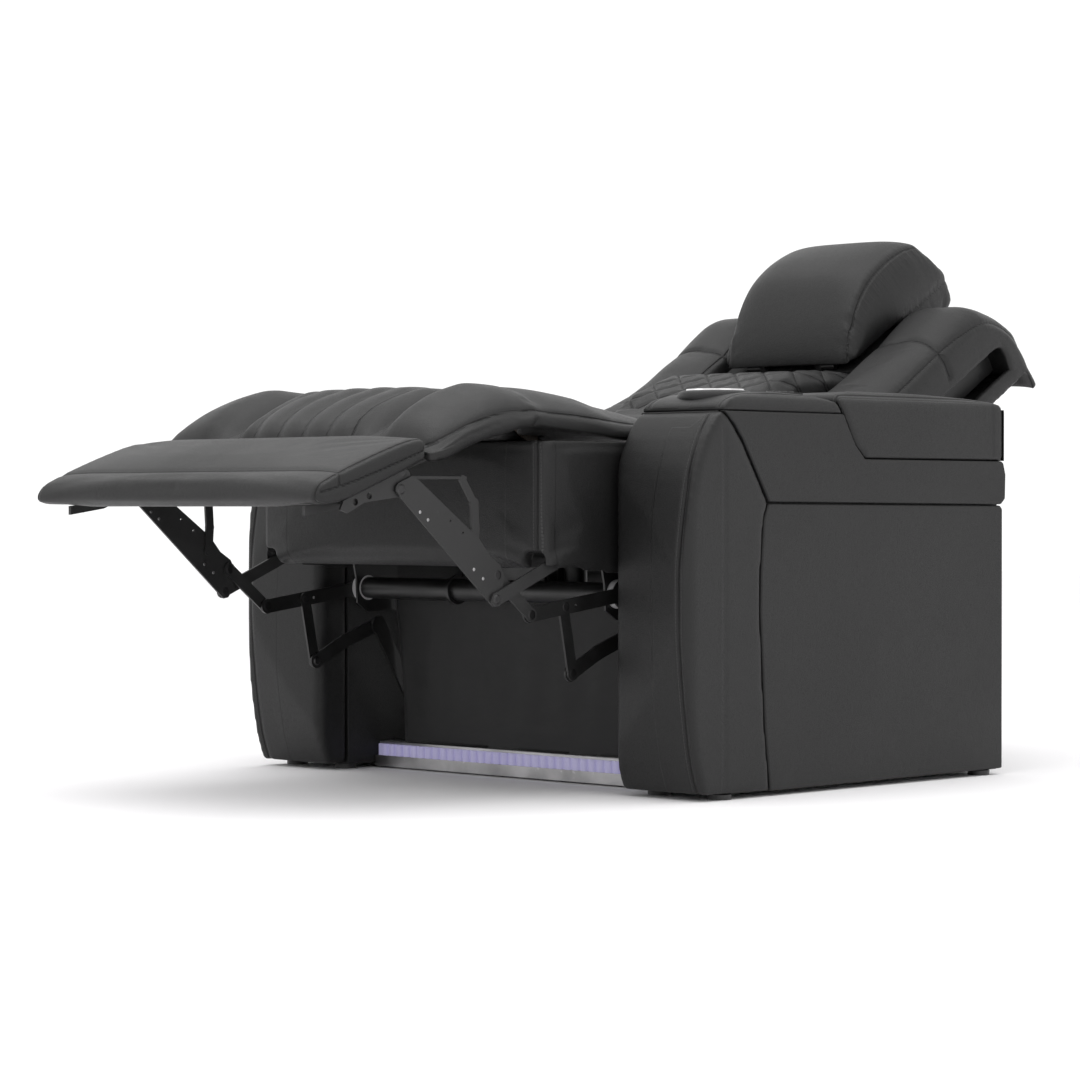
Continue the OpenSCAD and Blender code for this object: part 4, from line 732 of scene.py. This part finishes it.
def bolster_shape(p, places, normals):
    """Rolls the outer edge of a bolster over to the welt along its side, and lets its tip hang."""
    wide, u, n = np.abs(p[:, 0]), p[:, 1], p[:, 2]
    top = np.interp(u, *BOLSTER_LINE)
    # the outer edge falls by up to 27 and draws back by up to 20 towards the tip
    roll = rounding((wide - 250) / 68)
    n = n - 27 * roll * ramp(n, top - 90, 90) * np.clip((690 - u) / 90, 0, 1)
    u = u - 20 * roll * ramp(u, 560, 100)
    # the underside of the tip hangs by up to 24 and draws back by up to 12
    under = np.clip((-14 - n) / 44, 0, 1)
    n = n - 24 * ramp(u, 480, 90) * under
    u = u - 12 * ramp(u, 560, 90) * under
    return back_to_scene(p[:, 0], u, n)


for side, s in SIDES:
    seams = [Seam(BOLSTER_PLEAT, 0, 1, only=lambda p: p[:, 2] > 10, deep=3.2, wide=6),
             Seam(BOLSTER_WELT, 1, 2, only=lambda p: np.abs(p[:, 0]) > 290, deep=2.0, wide=5, pull=0.5),
             Seam([(s * 176, -5), (s * 176, 660)], 0, 1, only=lambda p: p[:, 2] > 20, deep=1.0, wide=5)]
    upholstered(side + "_bolster_cover", [side + "_back_bolster"], "back", seams, drawn_on_back, slim=1,
                cap=8, smooth=16, shape=bolster_shape,
                held=lambda p: (p[:, 2] < 4) & (p[:, 1] < 580))

QUILT_PITCH, QUILT_LOW, QUILT_HIGH = 66, 100, 372
quilting = [Seam([(-200, QUILT_PITCH * k - way * 200), (200, QUILT_PITCH * k + way * 200)], 0, 1, deep=2.6,
                 wide=6, only=lambda p: within(p[:, 1], QUILT_LOW, QUILT_HIGH) & (p[:, 2] > 20))
            for k in range(-9, 10) for way in (1, -1)]
upholstered("lumbar_cover", ["lumbar_pad"], "back", quilting, drawn_on_back, voxel=5, slim=2, cap=6,
            held=lambda p: p[:, 2] < 0)


def rear_shape(p, places, normals):
    """Lets the middle of the rear cover stand out a little."""
    crown = 2.5 * np.exp(-(np.abs(p[:, 0]) / 300) ** 4) * (p[:, 2] < -80)
    return places + normals * crown[:, None] / 1000


rear_seams = [Seam([(-300, 640), (300, 640)], 0, 1, deep=1.5, wide=4)]
rear_seams += mirrored([(300, 60), (300, 642)], 0, 1, deep=1.5, wide=4, sewn=1)
upholstered("outside_back_cover", ["outside_back"], "back", rear_seams, drawn_on_back, voxel=7, slim=0.5,
            pressure=0, material=SIDE_LEATHER_PAINTED_LIGHTER, shape=rear_shape)
covered_board("neck_board", "back", 1.5, 2)


def drawn_curve(across, up):
    """A table turned into a smooth line through its points, for reading off heights."""
    line = flowing([np.array(p, float) for p in zip(across, up)], 10)
    return np.array([q[0] for q in line]), np.array([q[1] for q in line])


# The side of the headrest in (u, n): the solid's own top, the welt's line, and the crown between the welts
HEAD_TOP = ((390, 400, 420, 460, 480, 520, 560, 590, 610, 640, 660, 680, 691),
            (80, 92, 114, 133, 148, 155, 159, 163, 173, 179, 135, 112, 62))
HEAD_WELT = drawn_curve((388, 395, 431, 474, 528, 583, 627, 660, 690, 704, 712),
                        (68, 76, 112, 134, 150, 155, 153, 145, 124, 104, 70))
HEAD_FRONT = drawn_curve((388, 394, 410, 431, 459, 490, 518, 559, 600, 640, 672, 698, 712),
                         (68, 80, 106, 130, 154, 175, 186, 191, 188, 179, 161, 132, 78))
# Across: the welt, and the half width of the pad; out: the lowest point that the shape moves as the front
HEAD_WELT_X, HEAD_HALF, HEAD_FOOT = 137, 141, 60


def headrest_shape(p, places, normals):
    """A tall pillow: a full front panel whose edges roll back to a welt on each side, and plump side panels
    that run in a round line from its foot to its back."""
    wide, u, n = np.abs(p[:, 0]), p[:, 1], p[:, 2]
    # share is 0 at the foot of the side panels and 1 on the front panel, which faces out of the back
    facing = normals[:, 2] * math.cos(LEAN) - normals[:, 1] * math.sin(LEAN)
    solid_side = np.interp(wide, (112, 130, 138, 146), (1, 0.965, 0.90, 0.84))
    share = np.clip((n - HEAD_FOOT) / (np.interp(u, *HEAD_TOP) - HEAD_FOOT) / solid_side, 0, 1)
    share += (1 - share) * ramp(facing, 0.35, 0.4) * (n > HEAD_FOOT + 12)
    # the rear end is drawn out to the length of the tables
    u = np.where(u > 640, 640 + (u - 640) * 1.34, u)
    across = np.sqrt(np.maximum(1 - (wide / HEAD_HALF) ** 4, 0))
    welt = np.interp(u, *HEAD_WELT)
    top = welt + (np.interp(u, *HEAD_FRONT) - welt) * across
    # the underside sags behind, most at its sides, and the side panels swell by up to 8
    sag = (9 + 15 * ramp(wide, 100, 30)) * ramp(u, 540, 60) * np.clip((706 - u) / 50, 0, 1)
    n = np.where(n > HEAD_FOOT, HEAD_FOOT + share * (top - HEAD_FOOT), n - sag)
    plump = 8 * ramp(wide, 128, 14) * np.sin(math.pi * np.clip(share, 0, 1)) * (u > 400)
    return back_to_scene(p[:, 0] + np.sign(p[:, 0]) * plump, u, n)


head_seams = mirrored([(HEAD_WELT_X, 384), (HEAD_WELT_X, 560), (HEAD_WELT_X, 716)], 0, 1,
                      only=lambda p: p[:, 2] > 58, deep=2.2, wide=5, pull=1.0)
upholstered("headrest_cover", ["headrest_pad"], "headrest", head_seams, drawn_on_back, voxel=5, slim=-1,
            cap=6, smooth=12, shape=headrest_shape,
            held=lambda p: (p[:, 2] < 66) & (p[:, 1] < 540))

# ---- arms

ARM_MID = 422
CUP_AT = (422.25, 109)
CUP_COLLAR = [(43.4, 598), (43.4, 617.2), (46, 618.2), (52, 617.6), (57, 614.5), (59, 609), (59, 598)]
# Where the lid's solid is parted into its padded lid and the hinge leaves behind it
LID_REAR = 724.9


def top_stitching(s, front, rear, above):
    """Two rows of stitches along the top of an arm. front and rear give a depth and the distance of the rows
    from the arm's middle line there."""
    (y0, half0), (y1, half1) = front, rear
    return [Seam([(s * (ARM_MID + k * half0), y0), (s * (ARM_MID + k * half1), y1)], 0, 1,
                 only=lambda p: p[:, 2] > above, deep=1.4, wide=4, sewn=1) for k in (1, -1)]


def parted(node, depth, **keep):
    """One part of a solid, cut off square at a depth and closed again."""
    bm = node_bmesh(node)
    bmesh.ops.bisect_plane(bm, geom=bm.verts[:] + bm.edges[:] + bm.faces[:], dist=1e-6,
                           plane_co=spot(0, depth, 0), plane_no=(0, 1, 0), **keep)
    bmesh.ops.holes_fill(bm, edges=[e for e in bm.edges if e.is_boundary], sides=0)
    return bm


for side, s in SIDES:
    front_seams = [Seam([(s * 490, 8), (s * 490, 300), (s * 489, 470), (s * 484, 600)], 0, 2,
                        only=lambda p: p[:, 1] < 30, deep=2.4, wide=4.5, sewn=1),
                   Seam([(-60, 579), (60, 586)], 1, 2, only=lambda p: p[:, 2] > 560, deep=1.8, wide=4)]
    upholstered(side + "_arm_front_cover", [side + "_arm_front"], "base", front_seams, voxel=5, slim=0.5,
                held=lambda p: p[:, 1] > 40, pressure=0, smooth=8)
    covered_board(side + "_side_panel", "base", 3.5, 4)
    covered_board(side + "_side_band", "base", 3.0, 4)
    covered_board(side + "_arm_shell", "base", 2.0, 2)
    upholstered(side + "_arm_top_cover", [side + "_arm_top"], "base",
                top_stitching(s, (30, 72), (320, 74), 590), voxel=4.5, slim=0.6, pressure=0,
                held=lambda p: p[:, 2] < 590)
    collar = turned_ring(CUP_COLLAR, spot(s * CUP_AT[0], CUP_AT[1], 0))
    fitted(sew(made(side + "_cup_collar", collar, LEATHER), []), "base")
    upholstered(side + "_lid_cover", [side + "_storage_lid"], side + "_lid",
                top_stitching(s, (290, 76), (730, 76), 560), voxel=4.5, slim=0.6, pressure=0,
                held=lambda p: (p[:, 2] < 524) | (p[:, 1] > 700),
                bm=parted(side + "_storage_lid", LID_REAR, clear_outer=True))
    leaves = parted(side + "_storage_lid", LID_REAR - 0.3, clear_inner=True)
    fitted(made(side + "_lid_hinge_leaves", leaves, BLACK_STEEL, False), side + "_lid")

# ---- dust cloth below the seat

# Width, height, thickness, and the place of the lower edge
CLOTH_W, CLOTH_H, CLOTH_T = 556, 240, 0.9
CLOTH_Y, CLOTH_Z = 110.5, 45.5
cloth = bmesh.new()
bmesh.ops.create_grid(cloth, x_segments=90, y_segments=44, size=0.5)
for v in cloth.verts:
    across, up = v.co.x * CLOTH_W, v.co.y + 0.5
    y = CLOTH_Y - 21 * up ** 1.4
    fold = 2.4 * math.sin(across / 31 + 2.1 * up) * math.sin(math.pi * min(up * 1.15, 1)) ** 0.8
    fold += 1.4 * math.sin(across / 12.5 - 3.0 * up + 1) * math.sin(math.pi * up)
    v.co = spot(across, y - fold * 0.8, CLOTH_Z + CLOTH_H * up)
bmesh.ops.solidify(cloth, geom=cloth.faces[:], thickness=CLOTH_T / 1000)
bmesh.ops.recalc_face_normals(cloth, faces=cloth.faces)
dust = made("front_dust_cloth", cloth, DUST_CLOTH)
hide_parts("front_cloth")
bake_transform(dust)

# ---- rivets and main links of the linkage

# Link plates: their thickness, the step from one to the next, and the outer face of the outermost
LINK_T, LINK_STEP, LINKS_HALF = 4, 4.6, 317
RIVET_R = 7.5
# Height of a rivet's head where another plate runs past it, and where it is free inside or outside
LOW_HEAD, INNER_HEAD, OUTER_HEAD = 0.45, 1.8, 1.9


def polar(origin, reach, degrees):
    """A point of the side drawing, given by its distance and direction from another."""
    turn = math.radians(degrees)
    return origin[0] + reach * math.cos(turn), origin[1] + reach * math.sin(turn)


def plate_face(n):
    """Outer face of the nth link plate, counted from the outside."""
    return LINKS_HALF - n * LINK_STEP


def rivet(name, body, at, inner, outer, radius=RIVET_R, inner_head=LOW_HEAD, outer_head=LOW_HEAD,
          steel=RIVET_STEEL):
    """A turned rivet on each side of the seat, through the plates from inner to outer: a shank between two
    heads with rolled rims."""
    x0, x1 = plate_face(inner) - LINK_T, plate_face(outer)
    turned = [(x0 - inner_head, 0), (x0 - inner_head, radius * 0.72), (x0, radius), (x0, radius * 0.5),
              (x1, radius * 0.5), (x1, radius), (x1 + outer_head, radius * 0.72), (x1 + outer_head, 0)]
    for side, s in SIDES:
        bm = bmesh.new()
        row = [bm.verts.new(spot(s * x, at[0] + r, at[1])) for x, r in turned]
        for a, b in zip(row, row[1:]):
            bm.edges.new((a, b))
        bmesh.ops.spin(bm, geom=bm.verts[:] + bm.edges[:], cent=spot(0, *at), axis=(1, 0, 0), steps=28,
                       angle=2 * math.pi, use_merge=True, use_duplicate=False)
        fitted(made("%s_%s_rivet" % (side, name), closed(bm), steel, False), body)


# Pivots of the linkage as depth and height, each from the one before it
FOOT = polar(KNEE, 284, 202.8)
CARRIER = polar(FOOT, 248.2, -40.75)
DRIVE = (CARRIER[0] + 6, CARRIER[1] + 36)
TUBE, SWING_REACH, CRANK_TURN = (32, 306), 129.3, 187.5
CRANK = polar(TUBE, 207.8, CRANK_TURN)
SWING_TOP = polar(TUBE, SWING_REACH, CRANK_TURN)
SWING_LOW = (TUBE[0] - SWING_REACH * 0.8353, TUBE[1] - SWING_REACH * 0.9203)
# The main link, across and up from its footrest pivot: outline, holes with their radius, and studs
MAIN_OUTLINE = [(-10, -2), (-9, 4), (-5, 8.5), (1, 11), (22, 19), (32, 15), (157, -73.5), (178, -98),
                (199, -111), (205.5, -122), (206, -136), (203, -152), (200, -164), (194, -171), (186, -172.5),
                (179, -167)]
MAIN_HOLES = [(0, 0, 5.4), (188.1, -162.1, 5.4), (194.1, -126.1, 5.4), (97.9, -45.2, 2.2),
              (123.1, -63.1, 2.2)]
MAIN_STUDS = [(37.2, -33), (53, -44.2), (145.2, -117.2), (164, -131)]
BROKEN_EDGE = 0.0004


def flat_plate(name, outline, holes, at, x0, x1):
    """A plate cut from sheet, with its holes and broken edges, on both sides of the seat."""
    cut = bpy.data.curves.new(name, "CURVE")
    cut.dimensions, cut.fill_mode = "2D", "BOTH"
    cut.extrude = (x1 - x0) / 2000 - BROKEN_EDGE
    cut.bevel_depth, cut.bevel_resolution = BROKEN_EDGE, 2
    rings = [outline] + [[(y + r * math.cos(k * math.pi / 16), z + r * math.sin(k * math.pi / 16))
                          for k in range(32)] for y, z, r in holes]
    for ring in rings:
        line = cut.splines.new("POLY")
        line.points.add(len(ring) - 1)
        line.use_cyclic_u = True
        for point, (y, z) in zip(line.points, ring):
            point.co = (y / 1000, z / 1000, 0, 1)
    drawing = bpy.data.objects.new(name, cut)
    bpy.context.scene.collection.objects.link(drawing)
    sheet = bpy.data.meshes.new_from_object(drawing.evaluated_get(bpy.context.evaluated_depsgraph_get()))
    bpy.data.objects.remove(drawing)
    whole = bmesh.new()
    for s in (1, -1):
        before = set(whole.verts)
        whole.from_mesh(sheet)
        for v in set(whole.verts) - before:
            y, z, x = v.co
            v.co = spot(s * (x0 + x1) / 2, *at) + Vector((s * x, y, z))
    return closed(whole)


plates = flat_plate("main_link_plates", MAIN_OUTLINE, MAIN_HOLES, FOOT, plate_face(1) - LINK_T, plate_face(1))
fitted(made("main_link_plates", plates, LINK_STEEL_PAINTED_LIGHTER, False), "mains", ["main_links"])
for n, (y, z) in enumerate(MAIN_STUDS):
    rivet("main_stud_%d" % n, "mains", (FOOT[0] + y, FOOT[1] + z), 1, 1, 2.6, inner_head=0.3,
          steel=GREY_STEEL)
rivet("bracket_tip", "legrest", (FOOT[0] + 9, FOOT[1] + 23), 2, 2, 5.2)
rivet("footrest", "mains", FOOT, 2, 1, inner_head=INNER_HEAD, outer_head=OUTER_HEAD)
rivet("carrier", "carriers", CARRIER, 1, 0, outer_head=OUTER_HEAD)
rivet("drive", "drives", DRIVE, 2, 1, 7)
rivet("crank", "crank", CRANK, 3, 2)
rivet("swing", "crank", SWING_TOP, 4, 3)
rivet("swing_arm", "swing_arm", SWING_LOW, 5, 4, inner_head=INNER_HEAD)

# ---- finishes of the parts that keep their own solids

FINISHES = {
    BLACK_STEEL: ["base_frame", "seat_cross_tubes", "swing_arms", "swing_links", "back_frame",
                  "headrest_plate", "recline_actuator", "legrest_actuator", "torque_tube", "crank_arms",
                  "seat_side_plates", "lid_hinges"],
    LINK_STEEL_PAINTED_LIGHTER: ["legrest_frame", "footrest_brackets", "carrier_links", "pad_supports", "drive_links"],
    GREY_STEEL: ["glide_rails", "seat_runners"],
    BRIGHT_STEEL: ["left_cup_holder", "right_cup_holder", "legrest_rod", "recline_rod"],
    LED_METAL: ["led_channel"],
    LENS: ["led_strip"],
    WHITE_PLASTIC: ["tube_bushings"],
    BLACK_PLASTIC: ["glides", "left_storage_tub", "right_storage_tub", "control_panel"],
    BUTTON_PLASTIC: ["recline_button", "legrest_button", "headrest_button", "light_button"],
    WEBBING: ["seat_webbing"],
    PINE_DARKENED_AS_SHADE: ["seat_frame"],
}
for material, members in FINISHES.items():
    for node in members:
        mesh = NODES[node].data
        mesh.materials.clear()
        mesh.materials.append(material)

# ---- floor, light and camera

floor_mesh = bmesh.new()
bmesh.ops.create_grid(floor_mesh, x_segments=1, y_segments=1, size=14)
paper = Finish("pale paper floor", (0.9, 0.9, 0.9), 0.9, Specular_IOR_Level=0.1)
paper.colour(paper.mixed(paper.fit(paper.noise(3, 2), 0.3, 0.7), grey(0.92), grey(0.935)))
floor = made("studio_floor", floor_mesh, paper.mat, False)


def placed(name, data, place):
    """Puts a lamp or the camera into the scene."""
    obj = bpy.data.objects.new(name, data)
    bpy.context.scene.collection.objects.link(obj)
    obj.location = place
    return obj


def softbox(name, place, aim, size, power):
    """A rectangular area light at a place, turned to its aim."""
    light = bpy.data.lights.new(name, "AREA")
    light.shape, light.size, light.size_y, light.energy = "RECTANGLE", size[0], size[1], power
    lamp = placed(name, light, place)
    lamp.rotation_euler = (Vector(aim) - Vector(place)).to_track_quat("-Z", "Y").to_euler()


softbox("top_softbox", (0.2, -0.3, 3.4), (0, 0, 0.3), (3.4, 3.4), 60)
softbox("front_softbox", (-1.6, -3.6, 2.0), (0, -0.2, 0.4), (2.2, 2.2), 8)
softbox("side_softbox", (3.8, -0.4, 1.9), (0, 0, 0.4), (2.6, 2.0), 6)
world = bpy.data.worlds.new("studio")
world.use_nodes = True
background = world.node_tree.nodes["Background"]
background.inputs["Color"].default_value = (1, 1, 1, 1)
background.inputs["Strength"].default_value = 1.1
bpy.context.scene.world = world
bpy.context.scene.view_settings.view_transform = "Standard"

camera = bpy.data.cameras.new("camera")
camera.lens, camera.sensor_width = 108.9, 36
shot = placed("camera", camera, (3.759, -3.8623, 0.4422))
shot.rotation_euler = (math.radians(89.40), 0, math.radians(44.84))
bpy.context.scene.camera = shot
